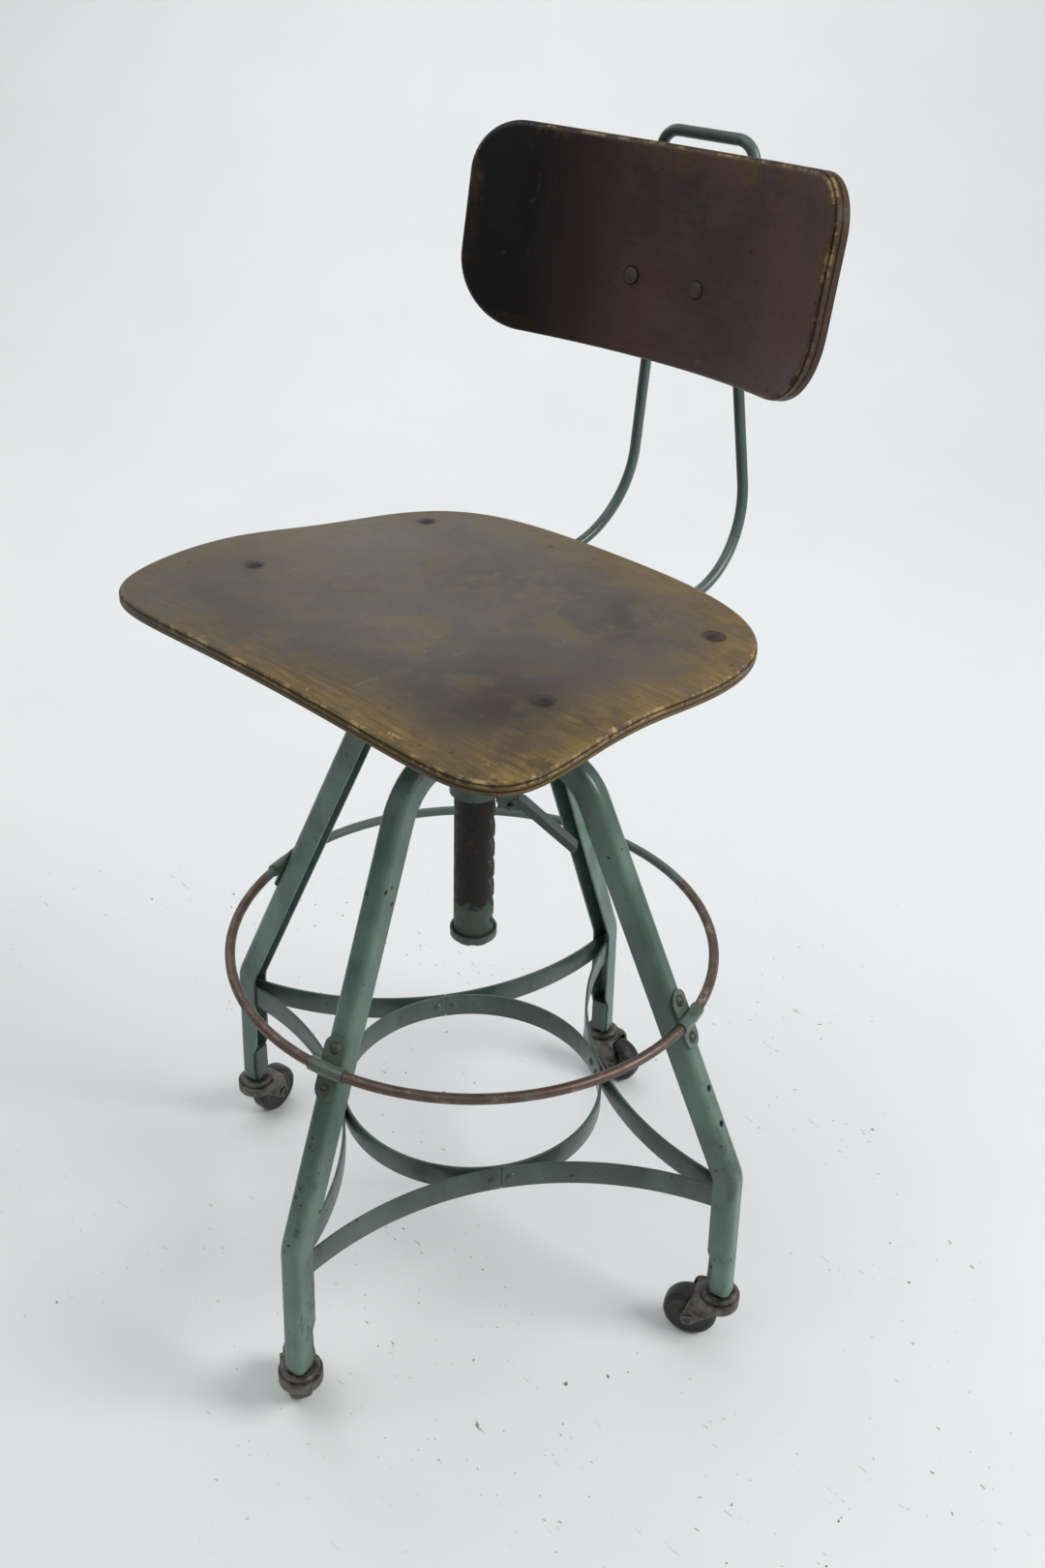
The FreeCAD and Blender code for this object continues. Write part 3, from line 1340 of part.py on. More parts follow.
def horn_side():
    """Side view of the horn: a shallow skirt, a hood over the wheel and a cheek down to the axle."""
    front = -6.0
    top = size.horn_top.number
    boss = size.horn_boss.number
    axle = Vector(size.caster_trail.number, 0, size.wheel_radius.number)
    skirt_edge = Vector(front, 0, top - size.horn_skirt.number)
    hood_corner = 8.0
    hood_back = axle.x + 1.0
    hood_edge = Vector(hood_back, 0, top - hood_corner)

    def touch(point, side):
        """Where a straight edge from a point runs onto the round boss."""
        away = point - axle
        lean = side * math.acos(boss / away.Length)
        return axle + FreeCAD.Rotation(BACKWARDS, math.degrees(lean)).multVec(away).normalize() * boss

    front_touch = touch(skirt_edge, -1)
    back_touch = touch(hood_edge, 1)
    boss_end = axle + Vector(boss * math.cos(math.radians(45)), 0, -boss * math.sin(math.radians(45)))
    hood_centre = Vector(hood_back - hood_corner, 0, top - hood_corner)
    hood_middle = hood_centre + Vector(math.cos(math.pi / 4), 0, math.sin(math.pi / 4)) * hood_corner
    hood_start = Vector(hood_centre.x, 0, top)
    edges = [
        line(Vector(front, 0, top), skirt_edge),
        line(skirt_edge, front_touch),
        Part.Arc(front_touch, boss_end, back_touch).toShape(),
        line(back_touch, hood_edge),
        Part.Arc(hood_edge, hood_middle, hood_start).toShape(),
        line(hood_start, Vector(front, 0, top)),
    ]
    return Part.Wire(edges)


def horn(index):
    """Pressed horn: a round top that turns on the stem and two cheeks down to the axle."""
    outside = size.horn_half_width
    inside = size.wheel_width / 2 + 0.9
    boss_half = size.axle_half + 0.4
    boss_radius = size.axle_radius + 2
    trail = size.caster_trail
    skirt = size.horn_skirt
    skirt_bottom = size.horn_top - skirt
    under_plate = size.horn_top - size.horn_wall
    drum = cylinder("Drum", size.horn_radius, skirt, z=skirt_bottom)
    cheeks = prism("Cheeks", horn_side(), BACKWARDS, outside, outside)
    bosses = cylinder("Bosses", boss_radius, 2 * boss_half, trail, -boss_half, size.wheel_radius, BACKWARDS)
    drum_inside = size.horn_radius - size.horn_wall
    drum_space = cylinder("DrumSpace", drum_inside, skirt, z=skirt_bottom - size.horn_wall)
    wheel_space = box("WheelSpace", 60, 2 * inside, under_plate, -9, -inside, 0)
    rear_space = box("RearSpace", 40, 2 * inside, size.horn_top, trail - 2, -inside, 0)
    axle_hole = cylinder("AxleHole", size.axle_radius + 0.02, 60, trail, -30, size.wheel_radius, BACKWARDS)
    stem_hole = cylinder("StemHole", size.stem_radius + size.swivel_play, 20, z=size.horn_top - 10)
    blank = fuse("HornBlank", [drum, cheeks, bosses])
    tools = fuse("HornTools", [drum_space, wheel_space, rear_space, axle_hole, stem_hole])
    placed = at_caster(cut("Horn", blank, tools), index, CASTER_DIRECTIONS[index])
    keep(placed, f"caster_horn_{index + 1}")


def caster_axle(index):
    """Plain axle riveted into the cheeks."""
    half = size.axle_half
    axle = cylinder("Axle", size.axle_radius, 2 * half, size.caster_trail, -half, size.wheel_radius, BACKWARDS)
    keep(at_caster(axle, index, CASTER_DIRECTIONS[index]), f"caster_axle_{index + 1}")


def wheel(index):
    """Solid wheel with a domed tread and a hub."""
    half = size.wheel_width / 2
    bore = size.axle_radius + size.swivel_play
    rim = size.wheel_radius
    body = revolved(
        "Wheel",
        [
            (bore, -half),
            (bore + 4.5, -half),
            (bore + 5.5, 1.5 - half),
            (rim - 8, 1.5 - half),
            (rim - 5, 0.5 - half),
            (rim - 2, 2 - half),
            (rim - 0.4, 5 - half),
            (rim, -2),
            (rim, 2),
            (rim - 0.4, half - 5),
            (rim - 2, half - 2),
            (rim - 5, half - 0.5),
            (rim - 8, half - 1.5),
            (bore + 5.5, half - 1.5),
            (bore + 4.5, half),
            (bore, half),
        ],
    )
    lying = group("WheelTurned", [body])
    lying.Placement.Rotation = FreeCAD.Rotation(Vector(1, 0, 0), 90)
    place(lying, size.caster_trail, 0, size.wheel_radius)
    keep(at_caster(lying, index, CASTER_DIRECTIONS[index]), f"caster_wheel_{index + 1}")


# --- build and export -------------------------------------------------------------------------------

for leg_index in range(LEG_COUNT):
    leg(leg_index)
    ring_clip(leg_index)
hub()
foot_ring()
brace_ring()
brace_straps()
brace_rivets()
ratchet_post()
post_ends()
release_lever()
seat_shell()
seat_bolts()
seat_spider()
back_rod()
rod_clamp()
backrest()
back_clamp()
caster_stems()
for leg_index in range(LEG_COUNT):
    horn(leg_index)
    caster_axle(leg_index)
    wheel(leg_index)

doc.recompute()

faults = [obj.Name for obj in doc.Objects if "Invalid" in obj.State or "Error" in obj.State]
for node in nodes:
    if node.Shape.isNull() or not node.Shape.isValid() or not node.Shape.Solids:
        faults.append(node.Label)
if faults:
    raise SystemExit(f"failed objects: {faults}")

os.makedirs("parts", exist_ok=True)
for node in nodes:
    node.Shape.exportStep(f"parts/{node.Label}.step")
    print(f"{node.Label:20s} {len(node.Shape.Solids)} solid(s) {node.Shape.Volume / 1000:9.2f} cm3")
print(len(nodes), "nodes")
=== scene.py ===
import json
import math

import bpy
from mathutils import Matrix, Vector


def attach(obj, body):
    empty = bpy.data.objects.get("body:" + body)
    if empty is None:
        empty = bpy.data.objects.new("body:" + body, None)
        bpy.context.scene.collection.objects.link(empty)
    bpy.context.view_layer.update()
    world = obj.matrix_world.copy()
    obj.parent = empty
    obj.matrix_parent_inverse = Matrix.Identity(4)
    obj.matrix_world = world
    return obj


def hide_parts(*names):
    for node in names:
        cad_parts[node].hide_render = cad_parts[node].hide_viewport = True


# Looks of the drafting stool: materials for its steel, enamel, rubber and varnished plywood, finer
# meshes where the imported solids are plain, and a plain studio. Metres, +Z up, the sitter looks
# along -Y.

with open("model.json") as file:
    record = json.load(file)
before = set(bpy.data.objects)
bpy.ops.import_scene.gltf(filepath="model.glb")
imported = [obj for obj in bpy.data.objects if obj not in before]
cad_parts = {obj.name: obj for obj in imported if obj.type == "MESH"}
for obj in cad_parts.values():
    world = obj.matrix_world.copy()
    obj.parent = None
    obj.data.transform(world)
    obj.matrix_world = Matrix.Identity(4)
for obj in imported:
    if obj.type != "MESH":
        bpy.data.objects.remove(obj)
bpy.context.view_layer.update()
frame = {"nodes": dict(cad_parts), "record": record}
nodes = frame["nodes"]
MM = 0.001

# --- shape helpers --------------------------------------------------------------------------------


def make_piece(name, points, faces):
    """A smooth mesh object from points in metres and faces as lists of point numbers."""
    mesh = bpy.data.meshes.new(name)
    mesh.from_pydata([tuple(point) for point in points], [], faces)
    mesh.validate()
    mesh.update()
    piece = bpy.data.objects.new(name, mesh)
    bpy.context.scene.collection.objects.link(piece)
    for face in mesh.polygons:
        face.use_smooth = True
    return piece


def keep_number(piece, name, values):
    """Store one number per point for a material to read."""
    store = piece.data.attributes.new(name, "FLOAT", "POINT")
    store.data.foreach_set("value", values)


def ring_faces(rows, columns):
    """Quads between closed rings of points."""
    faces = []
    for row in range(rows - 1):
        for column in range(columns):
            beside = (column + 1) % columns
            low = row * columns
            high = low + columns
            faces.append([low + column, low + beside, high + beside, high + column])
    return faces


def body_of_node(node):
    """The name of the moving body that a CAD node belongs to."""
    for body, members in frame["record"]["behaviour"]["bodies"].items():
        if node in members:
            return body
    raise ValueError(node)


def stand_for(piece, node):
    """Put a new piece in the place of a CAD node."""
    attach(piece, body_of_node(node))
    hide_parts(node)
    return piece


# --- material helpers -----------------------------------------------------------------------------


def tint(red, green, blue):
    """A colour given as a screen shows it, 0 to 255, in linear light."""
    linear = []
    for value in (red, green, blue):
        share = value / 255
        linear.append(share / 12.92 if share <= 0.04045 else ((share + 0.055) / 1.055) ** 2.4)
    return (*linear, 1.0)


class Finish:
    """One procedural material, built node by node."""

    def __init__(self, name):
        self.material = bpy.data.materials.new(name)
        self.material.use_nodes = True
        self.tree = self.material.node_tree
        self.shader = self.tree.nodes["Principled BSDF"]
        self.place = self.add("ShaderNodeTexCoord").outputs["Object"]

    def add(self, kind, **settings):
        node = self.tree.nodes.new(kind)
        for name, value in settings.items():
            setattr(node, name, value)
        return node

    def join(self, source, socket):
        """Feed a socket from an output or a constant."""
        if isinstance(source, bpy.types.NodeSocket):
            self.tree.links.new(source, socket)
        else:
            socket.default_value = source

    def set(self, name, source):
        """Feed one input of the surface shader."""
        self.join(source, self.shader.inputs[name])

    def stretched(self, x, y, z):
        """Object coordinates scaled along each axis."""
        node = self.add("ShaderNodeMapping")
        self.join(self.place, node.inputs["Vector"])
        node.inputs["Scale"].default_value = (x, y, z)
        return node.outputs["Vector"]

    def noise(self, scale, detail=4.0, roughness=0.55, distortion=0.0, place=None):
        """Cloudy noise around 0.5."""
        node = self.add("ShaderNodeTexNoise")
        self.join(place or self.place, node.inputs["Vector"])
        node.inputs["Scale"].default_value = scale
        node.inputs["Detail"].default_value = detail
        node.inputs["Roughness"].default_value = roughness
        node.inputs["Distortion"].default_value = distortion
        return node.outputs["Fac"]

    def cells(self, scale, place=None):
        """Distance to the nearest of many scattered points."""
        node = self.add("ShaderNodeTexVoronoi")
        self.join(place or self.place, node.inputs["Vector"])
        node.inputs["Scale"].default_value = scale
        return node.outputs["Distance"]

    def ramp(self, source, low, high, from_value=0.0, to_value=1.0):
        """Smooth step from one value to another between two levels of the source."""
        node = self.add("ShaderNodeMapRange", interpolation_type="SMOOTHSTEP")
        self.join(source, node.inputs["Value"])
        node.inputs["From Min"].default_value = low
        node.inputs["From Max"].default_value = high
        node.inputs["To Min"].default_value = from_value
        node.inputs["To Max"].default_value = to_value
        return node.outputs["Result"]

    def math(self, operation, first, second=0.0):
        """Any sum on one or two numbers."""
        node = self.add("ShaderNodeMath", operation=operation)
        self.join(first, node.inputs[0])
        self.join(second, node.inputs[1])
        return node.outputs["Value"]

    def times(self, first, second):
        return self.math("MULTIPLY", first, second)

    def plus(self, first, second):
        return self.math("ADD", first, second)

    def minus(self, first, second):
        return self.math("SUBTRACT", first, second)

    def larger(self, first, second):
        return self.math("MAXIMUM", first, second)

    def mix(self, share, first, second):
        """The first colour where the share is 0, the second where it is 1."""
        node = self.add("ShaderNodeMix", data_type="RGBA")
        self.join(share, node.inputs["Factor"])
        self.join(first, node.inputs["A"])
        self.join(second, node.inputs["B"])
        return node.outputs["Result"]

    def attribute(self, name):
        """A number that the mesh stores at each point."""
        node = self.add("ShaderNodeAttribute", attribute_name=name)
        return node.outputs["Fac"]

    def part_of_place(self, axis):
        """One of the object coordinates X, Y and Z."""
        node = self.add("ShaderNodeSeparateXYZ")
        self.join(self.place, node.inputs["Vector"])
        return node.outputs[axis]

    def distance_from(self, x, y, axes=("X", "Y")):
        """Distance from the four points at plus and minus x and y, in a plane of two axes."""
        squares = []
        for axis, offset in zip(axes, (x, y)):
            gap = self.minus(self.math("ABSOLUTE", self.part_of_place(axis)), offset)
            squares.append(self.math("POWER", self.math("ABSOLUTE", gap), 2.0))
        return self.math("SQRT", self.plus(*squares))

    def edges(self, radius):
        """1 on sharp outer and inner edges, fading to 0 on flats."""
        bevel = self.add("ShaderNodeBevel", samples=6)
        bevel.inputs["Radius"].default_value = radius
        normal = self.add("ShaderNodeNewGeometry").outputs["Normal"]
        product = self.add("ShaderNodeVectorMath", operation="DOT_PRODUCT")
        self.join(bevel.outputs["Normal"], product.inputs[0])
        self.join(normal, product.inputs[1])
        return self.ramp(product.outputs["Value"], 0.99, 0.86)

    def bump(self, height, strength, distance, below=None):
        """Relief from a height, on top of any relief below it."""
        node = self.add("ShaderNodeBump")
        node.inputs["Strength"].default_value = strength
        node.inputs["Distance"].default_value = distance
        self.join(height, node.inputs["Height"])
        if below is not None:
            self.join(below, node.inputs["Normal"])
        return node.outputs["Normal"]


# --- materials ------------------------------------------------------------------------------------

SHOE_HEIGHTS = (420 * MM, 80 * MM)  # scuffs are few above the first and thickest below the second


def enamel(name, light, dark, chipping=0.5, edge_wear=0.6):
    """Old grey-green stoving enamel over steel: uneven, dirty in its pores and chipped.

    Grime lies in its pores and shoes have scuffed it low down. chipping and edge_wear say how
    much bare steel shows on its flats and on its edges."""
    finish = Finish(name)
    cloud = finish.noise(9.0, 5.0)
    streak = finish.noise(5.0, 3.0, place=finish.stretched(6.0, 6.0, 1.0))
    tone = finish.plus(finish.times(cloud, 0.6), finish.times(streak, 0.4))
    paint = finish.mix(finish.ramp(tone, 0.36, 0.66), dark, light)
    grime = finish.ramp(finish.noise(26.0, 6.0, 0.7), 0.52, 0.72)
    paint = finish.mix(finish.times(grime, 0.5), paint, tint(44, 50, 44))
    low_down = finish.ramp(finish.part_of_place("Z"), *SHOE_HEIGHTS, 0.25, 1.0)
    upright = finish.stretched(1.0, 1.0, 0.45)
    scuffs = finish.ramp(finish.noise(34.0, 6.0, 0.72, place=upright), 0.58, 0.64)
    scuffs = finish.times(scuffs, low_down)
    paint = finish.mix(finish.times(scuffs, 0.65), paint, tint(46, 50, 45))
    steel = finish.mix(finish.noise(140.0, 3.0), tint(20, 18, 16), tint(62, 52, 44))
    chips = finish.ramp(finish.cells(75.0), 0.20 + 0.04 * chipping, 0.13)
    chips = finish.times(chips, finish.ramp(finish.noise(14.0, 2.0), 0.66 - 0.12 * chipping, 0.68))
    specks = finish.ramp(finish.noise(210.0, 2.0, 0.4), 0.715, 0.735)
    specks = finish.times(specks, finish.ramp(finish.noise(17.0, 2.0), 0.46, 0.60))
    edge_patches = finish.ramp(finish.noise(38.0, 5.0, 0.7), 0.56 - 0.2 * edge_wear, 0.60)
    rubbed = finish.times(finish.edges(1.2 * MM), edge_patches)
    bare = finish.larger(finish.larger(chips, specks), rubbed)
    gloss = finish.ramp(cloud, 0.3, 0.7, 0.27, 0.40)
    finish.set("Base Color", finish.mix(bare, paint, steel))
    finish.set("Roughness", finish.plus(gloss, finish.times(bare, 0.25)))
    finish.set("Metallic", finish.times(bare, 0.3))
    peel = finish.bump(finish.noise(320.0, 2.0), 0.10, 0.4 * MM)
    finish.set("Normal", finish.bump(finish.minus(1.0, bare), 0.5, 0.3 * MM, peel))
    return finish.material


# From where to where, backwards and to the sitter's right, the ring's enamel outlasts the shoes.
UNTRODDEN = (80 * MM, 200 * MM)


def worn_ring():
    """Foot ring: enamel trodden down to brown steel in front, still green at the back."""
    finish = Finish("trodden_steel")
    brown = finish.mix(finish.noise(60.0, 6.0, 0.7), tint(60, 45, 39), tint(126, 106, 96))
    flattened = finish.stretched(1.0, 1.0, 2.5)
    bright = finish.ramp(finish.noise(45.0, 6.0, 0.75, place=flattened), 0.54, 0.72)
    brown = finish.mix(finish.times(bright, 0.7), brown, tint(182, 164, 150))
    green = finish.mix(finish.noise(24.0, 4.0), tint(70, 84, 78), tint(104, 120, 112))
    rearward = finish.minus(finish.part_of_place("Y"), finish.part_of_place("X"))
    back = finish.times(finish.ramp(rearward, *UNTRODDEN), 0.5)
    kept = finish.ramp(finish.plus(finish.noise(30.0, 5.0, 0.7), back), 0.62, 0.70)
    finish.set("Base Color", finish.mix(kept, brown, green))
    finish.set("Metallic", finish.times(finish.minus(1.0, kept), 0.55))
    finish.set("Roughness", finish.ramp(finish.noise(70.0, 4.0), 0.3, 0.7, 0.34, 0.58))
    finish.set("Normal", finish.bump(finish.noise(150.0, 5.0), 0.35, 0.5 * MM))
    return finish.material


POST_ENAMEL_EDGE = (436 * MM, 428 * MM)  # heights between which the post's enamel gives out
NOTCH_SHADE = (17.75 * MM, 17.35 * MM)  # distances from the post's axis, at a notch's rim and in it


def greasy_post():
    """Post: old grease and rust over enamel that survives at its lower end, and painted shade in its
    notches.
    """
    finish = Finish("greased_steel")
    height = finish.part_of_place("Z")
    crust = finish.noise(95.0, 8.0, 0.75)
    dark = finish.mix(finish.ramp(crust, 0.35, 0.66), tint(9, 8, 8), tint(40, 35, 31))
    rust = finish.ramp(finish.noise(55.0, 6.0, 0.7), 0.60, 0.72)
    dark = finish.mix(finish.times(rust, 0.40), dark, tint(80, 57, 46))
    green = finish.mix(finish.noise(40.0, 4.0), tint(52, 64, 57), tint(84, 99, 89))
    ragged = finish.plus(height, finish.times(finish.noise(42.0, 6.0, 0.7), 0.075))
    low = finish.ramp(ragged, *POST_ENAMEL_EDGE)
    colour = finish.mix(low, dark, green)
    from_axis = finish.distance_from(0.0, 0.0)
    # painted shade: near-black inside the notches, where their ledges shade them
    notch_painted_shade = finish.ramp(from_axis, *NOTCH_SHADE)
    colour = finish.mix(notch_painted_shade, colour, tint(7, 7, 7))
    finish.set("Base Color", colour)
    finish.set("Roughness", finish.ramp(crust, 0.3, 0.7, 0.28, 0.7))
    finish.set("Specular IOR Level", 0.3)
    finish.set("Metallic", 0.1)
    finish.set("Normal", finish.bump(finish.plus(crust, low), 0.9, 1.2 * MM))
    return finish.material


def old_steel(name, dark, light, polish=0.45, metallic=0.7, rust_share=0.4):
    """Pressed or turned steel gone dull, with rust in its hollows and bright rubbed edges."""
    finish = Finish(name)
    tone = finish.noise(70.0, 6.0, 0.65)
    metal = finish.mix(finish.ramp(tone, 0.34, 0.66), dark, light)
    rust = finish.ramp(finish.noise(48.0, 6.0, 0.75), 0.62, 0.74)
    metal = finish.mix(finish.times(rust, rust_share), metal, tint(86, 64, 50))
    rubbed = finish.times(finish.edges(1.0 * MM), finish.ramp(finish.noise(60.0, 4.0), 0.42, 0.6))
    metal = finish.mix(finish.times(rubbed, 0.6), metal, tint(170, 166, 156))
    finish.set("Base Color", metal)
    finish.set("Metallic", metallic)
    finish.set("Roughness", finish.ramp(tone, 0.3, 0.7, polish - 0.08, polish + 0.18))
    finish.set("Normal", finish.bump(finish.noise(240.0, 6.0, 0.7), 0.35, 0.4 * MM))
    return finish.material


def black_tread():
    """Hard black wheel, scuffed grey and dusty on its tread."""
    finish = Finish("black_composition")
    dust = finish.ramp(finish.noise(120.0, 6.0, 0.75), 0.5, 0.72)
    rubber = finish.mix(finish.times(dust, 0.5), tint(19, 18, 19), tint(66, 61, 58))
    finish.set("Base Color", rubber)
    finish.set("Roughness", finish.ramp(dust, 0.0, 1.0, 0.42, 0.75))
    finish.set("Normal", finish.bump(finish.noise(260.0, 5.0, 0.7), 0.4, 0.4 * MM))
    return finish.material


def aged_varnish(finish, coats, grain, smudge, wear, shade):
    """The varnish where it isn't rubbed through: cloudy, smudged and darkened to near-black in
    places.
    """
    deep, middle, worn, reddish = coats
    cloud = finish.noise(6.5, 6.0, 0.62, 0.25)
    colour = finish.mix(finish.ramp(cloud, 0.38, 0.62), deep, middle)
    patches = finish.times(finish.ramp(smudge, 0.46, 0.60), finish.ramp(wear, 0.0, 1.0, 0.15, 0.75))
    colour = finish.mix(patches, colour, worn)
    blush = finish.times(finish.ramp(finish.noise(4.0, 3.0), 0.46, 0.62), 0.6)
    colour = finish.mix(blush, colour, reddish)
    colour = finish.mix(shade(finish), colour, tint(14, 13, 14))
    streaks = finish.times(finish.ramp(grain, 0.50, 0.62), 0.16)
    return finish.mix(streaks, colour, tint(34, 27, 20))


def rubbed_share(finish, rim, wear, smudge, reach):
    """Where the varnish is rubbed thin: a ragged band along the rim."""
    ragged = finish.plus(rim, finish.times(finish.minus(smudge, 0.5), 0.14))
    rubbed = finish.times(finish.ramp(ragged, reach, 0.0), wear)
    return finish.times(rubbed, finish.ramp(finish.noise(30.0, 9.0, 0.76), 0.38, 0.60, 0.35, 1.0))


def bare_share(finish, rim, depth, wear):
    """Where the wood shows: broken stretches of the upper arris, and flakes near the rim."""
    arris = finish.times(finish.ramp(rim, 4.0 * MM, 1.6 * MM), finish.ramp(depth, 0.45, 0.25))
    torn = finish.times(finish.ramp(finish.noise(70.0, 8.0, 0.78), 0.50, 0.56), arris)
    torn = finish.times(torn, finish.ramp(wear, 0.1, 0.9))
    flakes = finish.ramp(finish.noise(46.0, 5.0, 0.62), 0.685, 0.70)
    flakes = finish.times(flakes, finish.ramp(rim, 34 * MM, 6 * MM))
    return finish.larger(torn, finish.times(flakes, finish.ramp(wear, 0.4, 1.0)))


def glue_share(finish, depth, on_edge):
    """Where dark glue lines part the plies, round the board's edge."""
    across_plies = finish.add("ShaderNodeCombineXYZ")
    finish.join(depth, across_plies.inputs["Z"])
    plies = finish.add("ShaderNodeTexWave", wave_type="BANDS", bands_direction="Z")
    finish.join(across_plies.outputs["Vector"], plies.inputs["Vector"])
    plies.inputs["Scale"].default_value = 0.85
    return finish.times(finish.ramp(plies.outputs["Fac"], 0.60, 0.92), on_edge)


def fine_marks(finish, colour, scratched):
    """Thin pale scratches and small dark pits."""
    upright = finish.stretched(6.0, 1.0, 3.0)
    scratches = finish.ramp(finish.noise(16.0, 3.0, 0.5, 2.5, place=upright), 0.712, 0.720)
    colour = finish.mix(finish.times(scratches, scratched), colour, tint(146, 132, 108))
    pits = finish.ramp(finish.noise(120.0, 2.0, 0.5), 0.70, 0.73)
    return finish.mix(finish.times(pits, 0.5), colour, tint(28, 24, 20))


def varnished_ply(name, coats, ochres, rim_reach, dirty_ring, shade, sheen, scratched):
    """Varnish over moulded plywood: rubbed through at the rim, deep and dark in the middle.

    The piece stores how far each point lies from the rim (rim_distance, metres), how far down
    its edge it is (edge_depth, 0 to 1) and how worn it is (wear). coats are the varnish's deep,
    middle, worn and reddish colours. ochres are those of the rubbed rim, which reaches inwards
    by rim_reach. dirty_ring(finish) gives the share of grime round the bolt heads and
    shade(finish) that of near-black darkening. sheen is how much the varnish shines and scratched
    how strongly its scratches show."""
    finish = Finish(name)
    rim = finish.attribute("rim_distance")
    depth = finish.attribute("edge_depth")
    wear = finish.attribute("wear")
    grain = finish.noise(26.0, 8.0, 0.68, 0.3, place=finish.stretched(1.2, 14.0, 14.0))
    smudge = finish.noise(19.0, 9.0, 0.72, 0.35)
    on_edge = finish.times(finish.ramp(depth, 0.02, 0.12), finish.ramp(depth, 0.98, 0.88))
    rubbed = rubbed_share(finish, rim, wear, smudge, rim_reach)
    bare = bare_share(finish, rim, depth, wear)
    glue = glue_share(finish, depth, on_edge)
    ochre = finish.mix(finish.ramp(grain, 0.20, 0.80), *ochres)
    colour = aged_varnish(finish, coats, grain, smudge, wear, shade)
    colour = finish.mix(finish.times(rubbed, 0.85), colour, ochre)
    colour = finish.mix(finish.times(on_edge, 0.22), colour, tint(30, 24, 19))
    colour = finish.mix(finish.times(bare, 0.85), colour, tint(170, 144, 100))
    colour = finish.mix(finish.times(glue, 0.8), colour, tint(26, 20, 16))
    colour = fine_marks(finish, colour, scratched)
    colour = finish.mix(finish.times(dirty_ring(finish), 0.8), colour, tint(22, 18, 15))
    finish.set("Base Color", colour)
    rough = finish.ramp(smudge, 0.3, 0.7, 0.30, 0.46)
    finish.set("Roughness", finish.plus(rough, finish.times(rubbed, 0.25)))
    finish.set("Specular IOR Level", finish.ramp(rubbed, 0.0, 0.8, sheen, 0.3 * sheen))
    fine = finish.bump(grain, 0.08, 0.5 * MM)
    relief = finish.minus(1.0, finish.larger(glue, bare))
    finish.set("Normal", finish.bump(relief, 0.35, 0.6 * MM, fine))
    return finish.material


SEAT_BOLT_PLACE = (163.1 * MM, 95.8 * MM)  # to each side of the middle, and forward and back
BACK_BOLT_PLACE = (33.8 * MM, 895.0 * MM)  # to each side of the middle, and above the floor
SEAT_GRIME_RING = (11.0 * MM, 8.8 * MM)  # radii between which grime thickens round a bolt head
BACK_GRIME_RING = (8.6 * MM, 6.8 * MM)
SEAT_FRONT_SHADE = (-90 * MM, -200 * MM)  # places in Y between which the seat darkens
BACK_SIDE_SHADE = (-5 * MM, -135 * MM)  # places in X between which the backrest darkens to near-black


def seat_bolt_grime(finish):
    return finish.ramp(finish.distance_from(*SEAT_BOLT_PLACE), *SEAT_GRIME_RING)


def back_bolt_grime(finish):
    return finish.ramp(finish.distance_from(*BACK_BOLT_PLACE, ("X", "Z")), *BACK_GRIME_RING)


def seat_front_shade(finish):
    """Darkest along the front edge, under the thighs."""
    edge = finish.ramp(finish.part_of_place("Y"), *SEAT_FRONT_SHADE)
    patchy = finish.ramp(finish.noise(11.0, 6.0, 0.65), 0.42, 0.56, 0.45, 1.0)
    return finish.times(finish.times(edge, patchy), 0.75)


def back_side_shade(finish):
    """Darker towards the sitter's right; its ragged edge runs in soft upright bands, painted
    reflection bands.
    """
    across = finish.part_of_place("X")
    # painted reflection: soft upright bands streak the darkening like reflections in the glossy board
    band = finish.noise(5.0, 2.0, place=finish.stretched(2.2, 1.0, 0.3))
    ragged = finish.plus(across, finish.times(finish.minus(band, 0.5), 0.12))
    return finish.ramp(ragged, *BACK_SIDE_SHADE, 0.0, 0.96)


leg_paint = enamel("grey_green_enamel", tint(102, 127, 116), tint(66, 86, 77), 0.9)
brace_paint = enamel("brace_enamel", tint(82, 100, 92), tint(58, 73, 67), 0.6)
rod_paint = enamel("rod_enamel", tint(84, 100, 94), tint(62, 77, 72), 0.2, 0.2)
hub_paint = enamel("hub_enamel", tint(76, 92, 84), tint(50, 63, 57), 0.8, 0.8)
ring_metal = worn_ring()
post_metal = greasy_post()
caster_metal = old_steel("patinated_steel", tint(56, 53, 48), tint(118, 115, 106))
zinc = old_steel("dull_zinc", tint(84, 86, 80), tint(132, 134, 126))
browned = old_steel("browned_steel", tint(30, 24, 20), tint(60, 49, 41), 0.50, 0.25, 0.5)
pale_brown = old_steel("rubbed_bronze", tint(58, 49, 46), tint(84, 73, 68), 0.45, 0.3, 0.3)
blackened = old_steel("blackened_steel", tint(36, 34, 31), tint(88, 84, 77), 0.45, 0.6, 0.25)
clip_paint = enamel("clip_enamel", tint(98, 116, 103), tint(72, 86, 75), 1.6, 1.3)
wheel_black = black_tread()
seat_varnish = varnished_ply(
    "olive_varnish",
    coats=(tint(42, 36, 31), tint(70, 58, 44), tint(100, 83, 53), tint(62, 48, 41)),
    ochres=(tint(98, 80, 48), tint(156, 131, 84)),
    rim_reach=80 * MM,
    dirty_ring=seat_bolt_grime,
    shade=seat_front_shade,
    sheen=0.52,
    scratched=0.34,
)
back_varnish = varnished_ply(
    "dark_varnish",
    coats=(tint(64, 51, 53), tint(84, 67, 68), tint(86, 68, 60), tint(90, 63, 61)),
    ochres=(tint(74, 57, 38), tint(116, 94, 62)),
    rim_reach=14 * MM,
    dirty_ring=back_bolt_grime,
    shade=back_side_shade,
    sheen=0.26,
    scratched=0.10,
)

